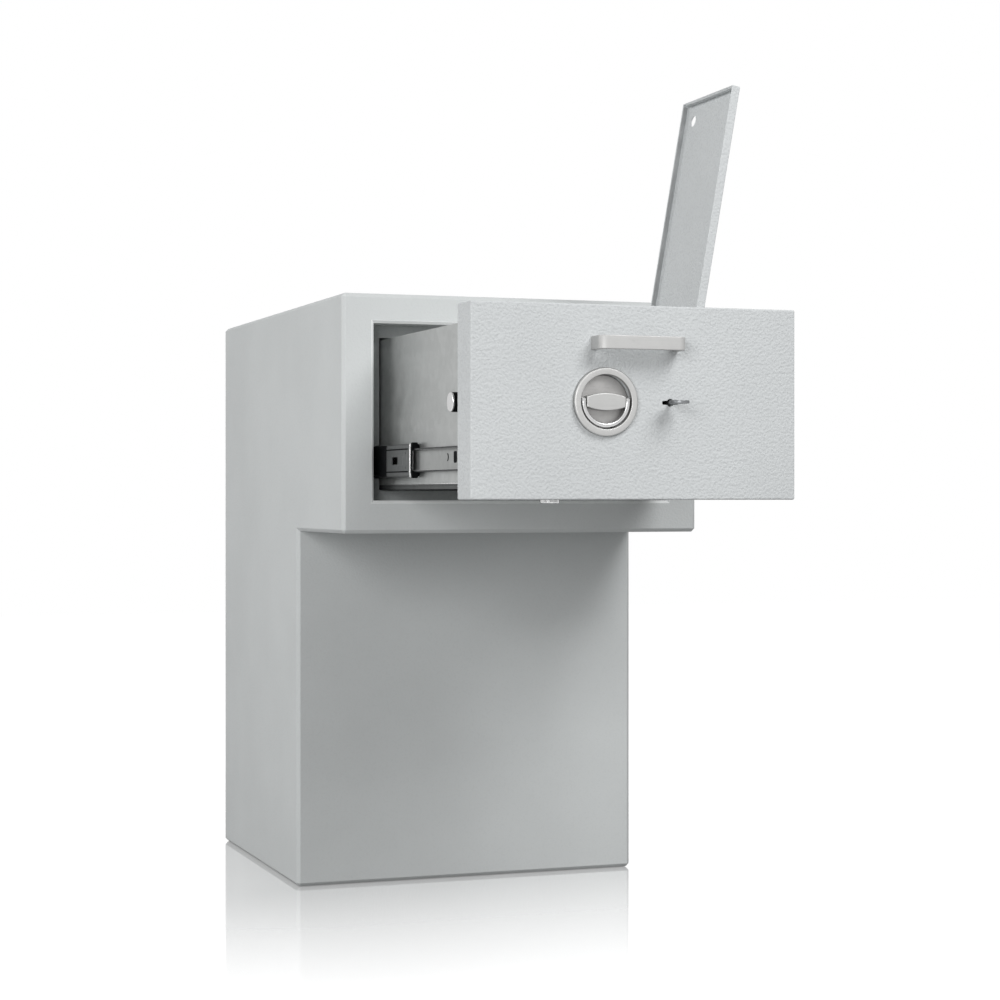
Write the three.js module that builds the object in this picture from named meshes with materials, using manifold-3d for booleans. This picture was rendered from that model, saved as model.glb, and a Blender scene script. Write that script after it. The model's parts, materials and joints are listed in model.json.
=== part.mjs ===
// Drop safe with a deposit drawer: an L-shaped steel body whose upper housing carries a drawer on
// full-extension slides. The drawer stands open with its deposit lid raised and its bolts thrown.
// Millimetres, +Z up, front towards -Y. The origin is the centre of the base's footprint.
import * as THREE from 'three';
import { mergeVertices } from 'three/addons/utils/BufferGeometryUtils.js';
import { RoundedBoxGeometry } from 'three/addons/geometries/RoundedBoxGeometry.js';
import Module from 'manifold-3d';

const wasm = await Module();
wasm.setup();

// Body
const bodyWidth = 436;
const bodyDepth = 586;
const bodyHeight = 700;
const housingHeight = 271;
const housingOverhang = 198;
const wall = 6;
const housingFrontThickness = 8;
const edgeRadius = 3.5;
const seamGap = 0.3;
const anchorHoleRadius = 7;
const anchorInset = 62;

// Drawer front and the opening that it closes
const frontSideMargin = 38.65;
const frontTopMargin = 34.5;
const frontBottomMargin = 38.5;
const frontThickness = 40;
const frontSkin = 8;
const frontRim = 4;
const frontBackSheet = 3;
const frontEdgeRadius = 3;
const frontGap = 1.6;
const revealWall = 4;
const revealChamfer = 3;
const drawerOpen = 327;

// Strike frame behind the opening
const strikeSeat = 0.6;
const strikeThickness = 5;
const strikeLapSide = 18.7;
const strikeLapTop = 14.4;
const strikeLapBottom = 11.7;
const slideNotchRun = 0.9;

// Drawer box
const boxSideInset = 18.35;
const boxTopInset = 15.5;
const boxBottomInset = 16.5;
const boxLength = 350;
const sheet = 1.5;
const mechanismDepth = 30;
const deckDrop = 2;
const chuteEdgeHeight = 46;
const windowMargin = 8;
const windowSill = 6;

// Drawer slides
const slideRise = 26.2;
const slideStack = 12.7;
const slideSheet = 1.3;
const slideOuterHeight = 45.7;
const slideMidHeight = 35.7;
const slideInnerHeight = 24.8;
const slideOuterFlange = 9.4;
const slideMidFlange = 9.2;
const slideInnerFlange = 7;
const slideLength = 350;
const slideMidLength = 350;
const slideRun = 0.4;
const bumperLength = 16;
const bracketSheet = 3;
const bracketFlange = 16;
const bracketRise = 5;

// Deposit lid
const lidWidth = 127.5;
const lidHingeInset = 43.3;
const lidEndGap = 7.4;
const lidSetback = 59.5;
const lidRim = 9.6;
const lidOpenAngle = THREE.MathUtils.degToRad(100);
const lidHoleRadius = 6.2;
const lidHoleFromEnd = 20.5;
const lidHoleFromSide = 17;
const lidClearance = 1.2;
const hingeRise = 1.3;
const knuckleRadius = 2.6;
const hingePinRadius = 1.2;
const knuckleLength = 15.8;
const hingeLeafWidth = 18;
const hingeLeafSheet = 1.2;

// Flap over the window in the back of the drawer box
const flapSheet = 2;
const flapPinRadius = 1.6;
const flapTubeRadius = 3.4;
const flapOverlap = 2;
const flapEarWidth = 2;
const flapEarHeight = 9;

// Pull handle
const pullX = -2.6;
const pullWidth = 96;
const pullHeight = 13.8;
const pullReach = 25;
const pullBar = 6.5;
const pullCornerRadius = 9;
const pullInnerRadius = 4;
const pullDrop = 39.6;
const pullEdge = 0.8;
const pullScrewRadius = 2.3;
const pullScrewHeadRadius = 4.5;
const pullScrewHead = 3.4;

// Turning handle
const knobX = -35.5;
const knobDrop = 59.2;
const rosetteRadius = 35.25;
const rosetteInner = 27.7;
const rosetteProud = 5;
const rosetteDepth = 10;
const rosetteRound = 2;
const rotorPlate = 3;
const bridgeLength = 41.2;
const bridgeMiddle = 17.8;
const bridgeEnd = 9.4;
const bailRadius = 23.9;
const bailBar = 2.3;
const bailPivotRise = 1.9;
const bailSink = 1;
const spindleRadius = 7.5;

// Boltwork of the drawer
const boltRadius = 10;
const boltChamfer = 2;
const boltThrow = 21;
const boltProud = 2.7;
const boltSetback = 17;
const boltBody = 54;
const bottomBoltReach = 38;
const bottomBoltGap = 3;
const bottomBoltProud = 3.5;
const boltRun = 0.4;
const barHeight = 12;
const barThickness = 4;
const bottomBarThickness = 3;
const camPinRadius = 2.5;
const camPlateMargin = 8;
const rackOverhang = 4;
const camSlotTurn = -135;
const guideLength = 14;
const guideHalf = 12.6;
const pinionLength = 6;

// Key lock
const keyX = 36.9;
const keyholeRadius = 3.8;
const keySlotHeight = 4.2;
const keySlotReach = 9;
const keyShaftRadius = 3.2;
const keyBitReach = 8.6;
const keyBitHeight = 3;
const keyBitLength = 7;
const keyBowWidth = 20;
const keyBowLength = 24;
const keyBowThickness = 3;
const keyNeck = 10;
const keyBowHole = 4;
const keyShoulder = 5;
const keyEndGap = 0.8;
const lockWidth = 50;
const lockHeight = 47;
const lockDepth = 26;
const lockNoseRadius = 12;
const lockBoreRadius = 10.2;
const lockBoltWidth = 16;
const lockBoltHeight = 26;
const lockBoltThrow = 7;
const lockBoltLift = 0.8;
const lockCaseLift = 1.6;

// Rear collection door
const rearSideMargin = 55.5;
const rearTopMargin = 26.5;
const rearBottomZ = 47.5;
const rearThickness = 8;
const rearGap = 2.5;
const rearFrameLap = 14.5;
const rearFrameBorder = 14;
const rearFrameThickness = 5;
const rearCoverInset = 18;
const rearCoverDepth = 34;
const rearBoltRadius = 8;
const rearBoltThrow = 18;
const rearBoltBody = 40;
const rearBoltPitch = 170;
const rearBoltTip = 3.5;
const rearBoltGap = 0.8;
const rearBarWidth = 14;
const rearKnobX = 40;
const rearHubRadius = 21;
const rearHubHeight = 16;
const rearLeverLength = 92;
const rearLeverWidth = 17;
const rearLeverThickness = 9;
const rearLeverRound = 8.2;
const rearSpindleRadius = 6;
const rearKeyPlateRadius = 14;
const rearKeyPlateThickness = 3;
const rearKeyPlateDrop = 72;
const rearHingeRadius = 6;
const rearHingePinRadius = 2.6;
const rearKnuckle = 25;
const rearHingeInset = 55;
const rearLeafWidth = 26;
const rearLeafSheet = 3;

// Floor of the drawer chamber and the baffle over the vault
const deckGap = 6;
const deckSheet = 2;
const deckSetback = 32;
const baffleSheet = 3;
const baffleReach = 130;
const baffleFall = 96;

// Length by which a cutter runs past what it cuts, and by which forms joined into one overlap
const overrun = 30;
const weld = 0.3;

// Facets of round forms
const roundSides = 28;
const smallSides = 16;
const rosetteSides = 48;
const bailSides = 10;
const bailArcSides = 40;
const edgeSides = 2;

const halfWidth = bodyWidth / 2;
const innerHalf = halfWidth - wall;
const seamHalf = innerHalf - seamGap;
const baseDepth = bodyDepth - housingOverhang;
const backY = baseDepth / 2;
const lowerFrontY = -backY;
const housingFrontY = backY - bodyDepth;
const undersideZ = bodyHeight - housingHeight;
const topInsideZ = bodyHeight - wall;
const backInsideY = backY - wall;

const frontHalf = halfWidth - frontSideMargin;
const frontWidth = frontHalf * 2;
const frontBottomZ = undersideZ + frontBottomMargin;
const frontTopZ = bodyHeight - frontTopMargin;
const frontHeight = frontTopZ - frontBottomZ;
const frontRearY = housingFrontY + frontThickness;
const revealHalf = frontHalf + frontGap;
const revealBottomZ = frontBottomZ - frontGap;
const revealTopZ = frontTopZ + frontGap;
const strikeY = frontRearY + strikeSeat;
const strikeBackY = strikeY + strikeThickness;
const strikeHalf = revealHalf - strikeLapSide;
const strikeBottomZ = revealBottomZ + strikeLapBottom;
const strikeTopZ = revealTopZ - strikeLapTop;

const boxHalf = frontHalf - boxSideInset;
const boxInnerHalf = boxHalf - sheet;
const boxBottomZ = frontBottomZ + boxBottomInset;
const boxTopZ = frontTopZ - boxTopInset;
const boxFrontY = frontRearY + seamGap;
const boxBackY = frontRearY + boxLength;
const mechanismY = frontRearY + mechanismDepth;
const deckTopZ = boxTopZ - deckDrop;

const slideZ = boxBottomZ + slideRise;
const slideOuterX = boxHalf + slideStack;
const pullZ = frontTopZ - pullDrop;
const pullPostX = (pullWidth - pullBar) / 2;
const knobZ = pullZ - knobDrop;
const boltY = frontRearY + boltSetback;
const boltTipX = strikeHalf + strikeLapSide - frontGap + boltProud;
const boltInnerX = boltTipX - boltBody;
const bottomBoltX = knobX - bottomBoltReach;
const pitchRadius = boltThrow / (Math.PI / 2);
const camPinZ = knobZ + pitchRadius + camPlateMargin;
const lidHingeX = boxHalf - lidHingeInset;
const lidHingeZ = deckTopZ + hingeRise;
const lidLength = lidHingeX + boxInnerHalf - lidEndGap;
const lidNearY = mechanismY + lidSetback - mechanismDepth;
const lidFarY = lidNearY + lidWidth;

const rearHalf = halfWidth - rearSideMargin;
const rearTopZ = undersideZ - rearTopMargin;
const rearMidZ = (rearBottomZ + rearTopZ) / 2;
const rearInsideY = backY - rearThickness;
const rearOpeningHalf = rearHalf + rearGap;
const rearFrameY = rearInsideY - strikeSeat - rearFrameThickness;
const rearPitchRadius = rearBoltThrow / (Math.PI / 2);
const rearHingeX = -rearHalf - rearGap / 2;
const rearHingeY = backY + rearHingeRadius + seamGap;
const deckZ = boxBottomZ - deckGap;

// A closed solid from a geometry, with its shared vertices merged
function solid(geometry) {
  const bare = geometry.clone();
  for (const name of Object.keys(bare.attributes)) {
    if (name !== 'position') bare.deleteAttribute(name);
  }
  const merged = mergeVertices(bare);
  const mesh = new wasm.Mesh({
    numProp: 3,
    vertProperties: new Float32Array(merged.attributes.position.array),
    triVerts: new Uint32Array(merged.index.array),
  });
  return new wasm.Manifold(mesh);
}

function geometryOf(body) {
  const mesh = body.getMesh();
  const geometry = new THREE.BufferGeometry();
  geometry.setAttribute('position', new THREE.BufferAttribute(new Float32Array(mesh.vertProperties), 3));
  geometry.setIndex(new THREE.BufferAttribute(new Uint32Array(mesh.triVerts), 1));
  const flat = geometry.toNonIndexed();
  flat.computeVertexNormals();
  return flat;
}

const join = (first, ...rest) => rest.reduce((sum, next) => sum.add(next), first);
const cut = (first, ...rest) => rest.reduce((left, next) => left.subtract(next), first);

// A box between two values on each axis
function slab([x0, x1], [y0, y1], [z0, z1]) {
  const box = new THREE.BoxGeometry(x1 - x0, y1 - y0, z1 - z0);
  box.translate((x0 + x1) / 2, (y0 + y1) / 2, (z0 + z1) / 2);
  return solid(box);
}

// A turned profile of [radius, height] points about an axis through a place
function turned(points, axis, place, sides = roundSides) {
  const lathe = new THREE.LatheGeometry(points.map(([r, h]) => new THREE.Vector2(r, h)), sides);
  if (axis === 'x') lathe.rotateZ(-Math.PI / 2);
  if (axis === 'z') lathe.rotateX(Math.PI / 2);
  lathe.translate(place[0], place[1], place[2]);
  return solid(lathe);
}

// A round bar from one value to another along an axis, through a place
function bar(radius, [from, to], axis, place, sides = roundSides) {
  return turned([[0, from], [radius, from], [radius, to], [0, to]], axis, place, sides);
}

// A flat outline pushed from one value to another along an axis. On x the outline is drawn as (y, z),
// on y as (x, z) and on z as (x, y).
function prism(shape, [from, to], axis, curveSegments = 8) {
  const body = new THREE.ExtrudeGeometry(shape, { depth: to - from, bevelEnabled: false, curveSegments });
  if (axis === 'x') {
    body.applyMatrix4(new THREE.Matrix4().set(0, 0, 1, from, 1, 0, 0, 0, 0, 1, 0, 0, 0, 0, 0, 1));
  }
  if (axis === 'y') {
    body.applyMatrix4(new THREE.Matrix4().set(1, 0, 0, 0, 0, 0, -1, to, 0, 1, 0, 0, 0, 0, 0, 1));
  }
  if (axis === 'z') body.translate(0, 0, from);
  return solid(body);
}

const outline = (points) => new THREE.Shape(points.map(([u, v]) => new THREE.Vector2(u, v)));

// A rounded rectangle about a centre
function roundedOutline(width, height, radius, centreU = 0, centreV = 0) {
  const shape = new THREE.Shape();
  const u = width / 2;
  const v = height / 2;
  shape.absarc(centreU + u - radius, centreV + v - radius, radius, 0, Math.PI / 2);
  shape.absarc(centreU - u + radius, centreV + v - radius, radius, Math.PI / 2, Math.PI);
  shape.absarc(centreU - u + radius, centreV - v + radius, radius, Math.PI, 1.5 * Math.PI);
  shape.absarc(centreU + u - radius, centreV - v + radius, radius, 1.5 * Math.PI, 2 * Math.PI);
  return shape;
}

const finishes = {
  bodyPaint: { color: 0xc3c7c7, roughness: 0.55, metalness: 0.05 },
  frontPaint: { color: 0xcbcfd0, roughness: 0.6, metalness: 0.05 },
  zincSheet: { color: 0xbfc3c4, roughness: 0.45, metalness: 0.6 },
  satinSteel: { color: 0xc6c6c4, roughness: 0.35, metalness: 0.85 },
  brightSteel: { color: 0xd0d0d0, roughness: 0.2, metalness: 1 },
  darkSteel: { color: 0x5b5e60, roughness: 0.5, metalness: 0.7 },
  blackPlastic: { color: 0x26282a, roughness: 0.6, metalness: 0 },
};

function addPiece(parent, name, body, finish) {
  const mesh = new THREE.Mesh(geometryOf(body), new THREE.MeshStandardMaterial(finishes[finish]));
  mesh.name = name;
  parent.add(mesh);
  return mesh;
}

// The outer form of the welded body, from which every body plate is cut
function bodyEnvelope() {
  const housing = new RoundedBoxGeometry(bodyWidth, bodyDepth, housingHeight, edgeSides, edgeRadius);
  housing.translate(0, housingFrontY + bodyDepth / 2, undersideZ + housingHeight / 2);
  const lower = new RoundedBoxGeometry(bodyWidth, baseDepth, bodyHeight, edgeSides, edgeRadius);
  lower.translate(0, 0, bodyHeight / 2);
  return join(solid(housing), solid(lower));
}

// The opening for the drawer front, chamfered at the front of the housing
function revealCutter() {
  const throughFront = slab(
    [-revealHalf, revealHalf],
    [housingFrontY - overrun, strikeY + overrun],
    [revealBottomZ, revealTopZ],
  );
  // The chamfer widens the opening towards the front: two crossed wedges and what they share
  const flare = revealChamfer + overrun;
  const flank = (low, high) => outline([
    [low - flare, housingFrontY - overrun],
    [high + flare, housingFrontY - overrun],
    [high, housingFrontY + revealChamfer],
    [low, housingFrontY + revealChamfer],
  ]);
  const acrossX = prism(flank(-revealHalf, revealHalf), [frontBottomZ - overrun, frontTopZ + overrun], 'z');
  const upright = outline([
    [housingFrontY - overrun, revealBottomZ - flare],
    [housingFrontY + revealChamfer, revealBottomZ],
    [housingFrontY + revealChamfer, revealTopZ],
    [housingFrontY - overrun, revealTopZ + flare],
  ]);
  const acrossZ = prism(upright, [-revealHalf - overrun, revealHalf + overrun], 'x');
  return join(throughFront, acrossX.intersect(acrossZ));
}

function addBody(root) {
  const envelope = bodyEnvelope();
  const allX = [-halfWidth - overrun, halfWidth + overrun];
  const allY = [housingFrontY - overrun, backY + overrun];
  const allZ = [-overrun, bodyHeight + overrun];
  const betweenSides = [-seamHalf, seamHalf];
  const leftSide = slab([allX[0], -innerHalf], allY, allZ);
  const rightSide = slab([innerHalf, allX[1]], allY, allZ);
  const top = slab(betweenSides, allY, [topInsideZ, allZ[1]]);
  addPiece(root, 'side_plate_left', envelope.intersect(leftSide), 'bodyPaint');
  addPiece(root, 'side_plate_right', envelope.intersect(rightSide), 'bodyPaint');
  addPiece(root, 'top_plate', envelope.intersect(top), 'bodyPaint');

  const frontInsideY = housingFrontY + housingFrontThickness;
  const frontSlab = envelope.intersect(
    slab(betweenSides, [allY[0], frontInsideY], [undersideZ - overrun, topInsideZ - seamGap]),
  );
  const collar = slab(
    [-revealHalf - revealWall, revealHalf + revealWall],
    [housingFrontY + revealChamfer * 2, strikeY - seamGap],
    [revealBottomZ - revealWall, revealTopZ + revealWall],
  );
  addPiece(root, 'housing_front', cut(join(frontSlab, collar), revealCutter()), 'bodyPaint');
  addPiece(root, 'housing_underside', slab(
    betweenSides,
    [frontInsideY + seamGap, lowerFrontY + wall],
    [undersideZ, undersideZ + wall],
  ), 'bodyPaint');
  addPiece(root, 'lower_front_plate', envelope.intersect(
    slab(betweenSides, [allY[0], lowerFrontY + wall], [allZ[0], undersideZ - seamGap]),
  ), 'bodyPaint');

  let base = envelope.intersect(
    slab(betweenSides, [lowerFrontY + wall + seamGap, backInsideY - seamGap], [allZ[0], wall]),
  );
  for (const sideX of [-1, 1]) {
    for (const sideY of [-1, 1]) {
      const place = [sideX * (innerHalf - anchorInset), sideY * (backInsideY - anchorInset), 0];
      base = cut(base, bar(anchorHoleRadius, [-overrun, overrun], 'z', place));
    }
  }
  addPiece(root, 'base_plate', base, 'bodyPaint');

  const rearOpening = slab(
    [-rearOpeningHalf, rearOpeningHalf],
    [backInsideY - overrun, backY + overrun],
    [rearBottomZ - rearGap, rearTopZ + rearGap],
  );
  const back = envelope.intersect(
    slab(betweenSides, [backInsideY, allY[1]], [allZ[0], topInsideZ - seamGap]),
  );
  addPiece(root, 'back_plate', cut(back, rearOpening), 'bodyPaint');
}

// The rebate that the drawer front closes on and that its bolts lock behind
function addStrikeFrame(root) {
  const plate = slab(
    [-revealHalf - revealWall, revealHalf + revealWall],
    [strikeY, strikeBackY],
    [revealBottomZ - revealWall, revealTopZ + revealWall],
  );
  const throughY = [strikeY - overrun, strikeBackY + overrun];
  const opening = slab([-strikeHalf, strikeHalf], throughY, [strikeBottomZ, strikeTopZ]);
  const notchHalf = slideOuterX + slideRun + seamGap;
  const notch = slab(
    [-notchHalf, notchHalf],
    throughY,
    [slideZ - slideMidHeight / 2 - slideNotchRun, slideZ + slideMidHeight / 2 + slideNotchRun],
  );
  addPiece(root, 'strike_frame', cut(plate, opening, notch), 'bodyPaint');
}

// The plate that deposits fall on behind the opening, and from which the closing drawer pushes them
// into the vault
function addChamber(root) {
  const frontY = frontRearY + deckSetback;
  const rearY = lowerFrontY + wall;
  const footZ = undersideZ + wall + seamGap;
  const section = outline([
    [frontY, footZ],
    [frontY + deckSheet, footZ],
    [frontY + deckSheet, deckZ - deckSheet],
    [rearY - deckSheet, deckZ - deckSheet],
    [rearY - deckSheet, footZ],
    [rearY, footZ],
    [rearY, deckZ],
    [frontY, deckZ],
  ]);
  addPiece(root, 'chamber_deck', prism(section, [-seamHalf, seamHalf], 'x'), 'bodyPaint');

  const startY = lowerFrontY + wall + seamGap;
  const startZ = undersideZ;
  const baffle = outline([
    [startY, startZ],
    [startY, startZ - baffleSheet],
    [startY + baffleReach, startZ - baffleSheet - baffleFall],
    [startY + baffleReach, startZ - baffleFall],
  ]);
  addPiece(root, 'vault_baffle', prism(baffle, [-seamHalf, seamHalf], 'x'), 'bodyPaint');
}

// One C-section rail of a slide. side is -1 on the left and 1 on the right; u runs from the cabinet
// side towards the drawer. The lips hold the ball rows against the rail inside, lipReach from the middle.
function rail(side, webU, flangeU, height, span, lipReach = 0) {
  const at = (u) => side * (slideOuterX - u);
  const half = height / 2;
  const outer = slab(
    [at(webU), at(flangeU)].sort((a, b) => a - b),
    span,
    [slideZ - half, slideZ + half],
  );
  const turn = Math.sign(flangeU - webU);
  const hollow = slab(
    [at(webU + turn * slideSheet), at(flangeU + turn * overrun)].sort((a, b) => a - b),
    [span[0] - overrun, span[1] + overrun],
    [slideZ - half + slideSheet, slideZ + half - slideSheet],
  );
  const channel = cut(outer, hollow);
  if (!lipReach) return channel;
  const lipX = [at(flangeU - turn * slideSheet), at(flangeU)].sort((a, b) => a - b);
  const lips = [-1, 1].map((up) => slab(
    lipX,
    span,
    [slideZ + up * lipReach, slideZ + up * (half - slideSheet / 2)].sort((a, b) => a - b),
  ));
  return join(channel, ...lips);
}

function addSlides(root, drawer, midParent) {
  const outerSpan = [strikeBackY + seamGap, strikeBackY + seamGap + slideLength];
  const midSpan = [outerSpan[1] - slideMidLength, outerSpan[1]];
  const innerSpan = [boxFrontY + seamGap, boxBackY - sheet];
  const midWeb = slideSheet + slideRun;
  const midLip = slideInnerHeight / 2 + slideRun;
  for (const [side, hand] of [[-1, 'left'], [1, 'right']]) {
    addPiece(root, `slide_outer_${hand}`, rail(
      side,
      0,
      slideOuterFlange,
      slideOuterHeight,
      outerSpan,
    ), 'zincSheet');
    addPiece(midParent, `slide_mid_${hand}`, rail(
      side,
      midWeb,
      midWeb + slideMidFlange,
      slideMidHeight,
      [midSpan[0] + bumperLength, midSpan[1]],
      midLip,
    ), 'zincSheet');
    const bumper = rail(side, midWeb, midWeb + slideMidFlange, slideMidHeight, [
      midSpan[0],
      midSpan[0] + bumperLength - seamGap,
    ], midLip);
    addPiece(midParent, `slide_bumper_${hand}`, bumper, 'blackPlastic');
    const innerWeb = slideStack - slideRun;
    addPiece(drawer, `slide_inner_${hand}`, rail(
      side,
      innerWeb,
      innerWeb - slideInnerFlange,
      slideInnerHeight,
      innerSpan,
    ), 'zincSheet');

    const webX = slideOuterX + seamGap;
    const low = slideZ - slideOuterHeight / 2 - bracketRise;
    const high = slideZ + slideOuterHeight / 2 + bracketRise;
    const section = outline([
      [webX, low],
      [webX + bracketSheet, low],
      [webX + bracketSheet, high - bracketSheet],
      [seamHalf - bracketSheet, high - bracketSheet],
      [seamHalf - bracketSheet, high - bracketSheet - bracketFlange],
      [seamHalf, high - bracketSheet - bracketFlange],
      [seamHalf, high],
      [webX, high],
    ].map(([x, z]) => [side * x, z]));
    addPiece(root, `slide_bracket_${hand}`, prism(section, outerSpan, 'y'), 'bodyPaint');
  }
}

function addDrawerFront(drawer) {
  const pan = new RoundedBoxGeometry(
    frontWidth,
    frontThickness + frontEdgeRadius * 2,
    frontHeight,
    edgeSides,
    frontEdgeRadius,
  );
  pan.translate(0, housingFrontY + frontThickness / 2 + frontEdgeRadius, (frontBottomZ + frontTopZ) / 2);
  const behind = slab(
    [-frontWidth, frontWidth],
    [frontRearY, frontRearY + overrun],
    [frontBottomZ - overrun, frontTopZ + overrun],
  );
  const skinY = housingFrontY + frontSkin;
  const pocket = slab(
    [-frontHalf + frontRim, frontHalf - frontRim],
    [skinY, frontRearY + overrun],
    [frontBottomZ + frontRim, frontTopZ - frontRim],
  );
  const throughSkin = [housingFrontY - overrun, skinY + overrun];
  const throughSheet = [frontRearY - frontBackSheet - overrun, frontRearY + overrun];
  const rotorHole = bar(rosetteInner + seamGap, throughSkin, 'y', [knobX, 0, knobZ], rosetteSides);
  const spindleHole = bar(spindleRadius + boltRun, throughSheet, 'y', [knobX, 0, knobZ]);
  const keyhole = join(
    bar(keyholeRadius, throughSkin, 'y', [keyX, 0, knobZ]),
    slab(
      [keyX - keySlotReach, keyX + keySlotReach],
      throughSkin,
      [knobZ - keySlotHeight / 2, knobZ + keySlotHeight / 2],
    ),
  );
  const screwHoles = [-1, 1].map((side) => (
    bar(pullScrewRadius + boltRun, throughSkin, 'y', [pullX + side * pullPostX, 0, pullZ])
  ));
  const front = cut(solid(pan), behind, pocket, rotorHole, keyhole, ...screwHoles);
  addPiece(drawer, 'drawer_front', front, 'frontPaint');

  const sheetBack = slab(
    [-frontHalf + frontRim + seamGap, frontHalf - frontRim - seamGap],
    [frontRearY - frontBackSheet, frontRearY],
    [frontBottomZ + frontRim + seamGap, frontTopZ - frontRim - seamGap],
  );
  const noseHole = bar(lockNoseRadius + seamGap, throughSheet, 'y', [keyX, 0, knobZ]);
  addPiece(drawer, 'front_back_sheet', cut(sheetBack, spindleHole, noseHole), 'frontPaint');
}

function addPullHandle(drawer) {
  const baseY = housingFrontY - seamGap;
  const tipY = housingFrontY - pullReach;
  const shape = new THREE.Shape();
  const half = pullWidth / 2;
  const innerHalfWidth = half - pullBar;
  shape.moveTo(-half, baseY);
  shape.absarc(-half + pullCornerRadius, tipY + pullCornerRadius, pullCornerRadius, Math.PI, 1.5 * Math.PI);
  shape.absarc(half - pullCornerRadius, tipY + pullCornerRadius, pullCornerRadius, -Math.PI / 2, 0);
  shape.lineTo(half, baseY);
  shape.lineTo(innerHalfWidth, baseY);
  const innerY = tipY + pullBar + pullInnerRadius;
  shape.absarc(innerHalfWidth - pullInnerRadius, innerY, pullInnerRadius, 0, -Math.PI / 2, true);
  shape.absarc(-innerHalfWidth + pullInnerRadius, innerY, pullInnerRadius, -Math.PI / 2, -Math.PI, true);
  shape.lineTo(-innerHalfWidth, baseY);
  const body = new THREE.ExtrudeGeometry(shape, {
    depth: pullHeight - pullEdge * 2,
    bevelThickness: pullEdge,
    bevelSize: pullEdge,
    bevelOffset: -pullEdge,
    bevelSegments: 1,
    curveSegments: 6,
  });
  body.translate(pullX, 0, pullZ - pullHeight / 2 + pullEdge);
  addPiece(drawer, 'pull_handle', solid(body), 'satinSteel');

  const skinY = housingFrontY + frontSkin;
  for (const [side, hand] of [[-1, 'left'], [1, 'right']]) {
    addPiece(drawer, `pull_handle_screw_${hand}`, turned([
      [0, housingFrontY],
      [pullScrewRadius, housingFrontY],
      [pullScrewRadius, skinY + seamGap],
      [pullScrewHeadRadius, skinY + seamGap],
      [pullScrewHeadRadius, skinY + seamGap + pullScrewHead],
      [0, skinY + seamGap + pullScrewHead],
    ], 'y', [pullX + side * pullPostX, 0, pullZ], smallSides), 'brightSteel');
  }
}

function addTurningHandle(drawer) {
  const place = [knobX, 0, knobZ];
  const seatY = housingFrontY - seamGap;
  const crownY = seatY - rosetteProud;
  const ring = turned([
    [rosetteInner, seatY],
    [rosetteInner, crownY + rosetteRound / 2],
    [rosetteInner + rosetteRound / 2, crownY],
    [rosetteRadius - rosetteRound, crownY],
    [rosetteRadius, crownY + rosetteRound],
    [rosetteRadius, seatY],
    [rosetteInner, seatY],
  ], 'y', place, rosetteSides);
  addPiece(drawer, 'rosette_ring', ring, 'satinSteel');

  const floorY = crownY + rosetteDepth;
  const rotorY = [floorY, floorY + rotorPlate];
  const disc = bar(rosetteInner - boltRun, rotorY, 'y', place, rosetteSides);
  // The bridge is a lens: an arc above and an arc below, with flat ends
  const half = bridgeLength / 2;
  const sag = (bridgeMiddle - bridgeEnd) / 2;
  const arcRadius = (half * half + sag * sag) / (2 * sag);
  const sweep = Math.asin(half / arcRadius);
  const lens = new THREE.Shape();
  for (const side of [1, -1]) {
    const centreZ = knobZ + side * (bridgeMiddle / 2 - arcRadius);
    const middle = side * Math.PI / 2;
    lens.absarc(knobX, centreZ, arcRadius, middle - sweep, middle + sweep);
  }
  const bridge = prism(lens, [crownY, rotorY[1]], 'y', smallSides);
  addPiece(drawer, 'turning_handle', join(disc, bridge), 'satinSteel');

  const pinionY = [boltY - pinionLength / 2, boltY + pinionLength / 2];
  const shaft = bar(spindleRadius, [rotorY[1] + seamGap, pinionY[1] + weld], 'y', place);
  const pinion = bar(pitchRadius - seamGap, pinionY, 'y', place);
  addPiece(drawer, 'handle_spindle', join(shaft, pinion), 'darkSteel');

  // The bail is the lower half of a ring, with short legs up to round ends on the pivot line
  const bailY = crownY + bailSink + bailBar;
  const pivotZ = knobZ + bailPivotRise;
  const torus = new THREE.TorusGeometry(bailRadius, bailBar, bailSides, bailArcSides);
  torus.rotateX(Math.PI / 2);
  torus.translate(knobX, bailY, knobZ);
  const upper = slab(
    [knobX - bailRadius * 2, knobX + bailRadius * 2],
    [bailY - overrun, bailY + overrun],
    [knobZ, knobZ + bailRadius * 2],
  );
  const legs = [-1, 1].map((side) => {
    const legX = knobX + side * bailRadius;
    const end = new THREE.SphereGeometry(bailBar, bailSides, bailSides);
    end.translate(legX, bailY, pivotZ);
    return join(bar(bailBar, [knobZ - weld, pivotZ], 'z', [legX, bailY, 0], bailSides), solid(end));
  });
  addPiece(drawer, 'handle_bail', join(cut(solid(torus), upper), ...legs), 'brightSteel');
}

// A round bolt with a chamfered tip. tip is the place of its end and direction its sign on the axis.
function roundBolt(radius, length, axis, tip, direction) {
  const profile = [
    [0, 0],
    [radius - boltChamfer, 0],
    [radius, boltChamfer],
    [radius, length],
    [0, length],
  ].map(([r, h]) => [r, -direction * h]);
  return turned(direction > 0 ? profile.reverse() : profile, axis, tip);
}

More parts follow.
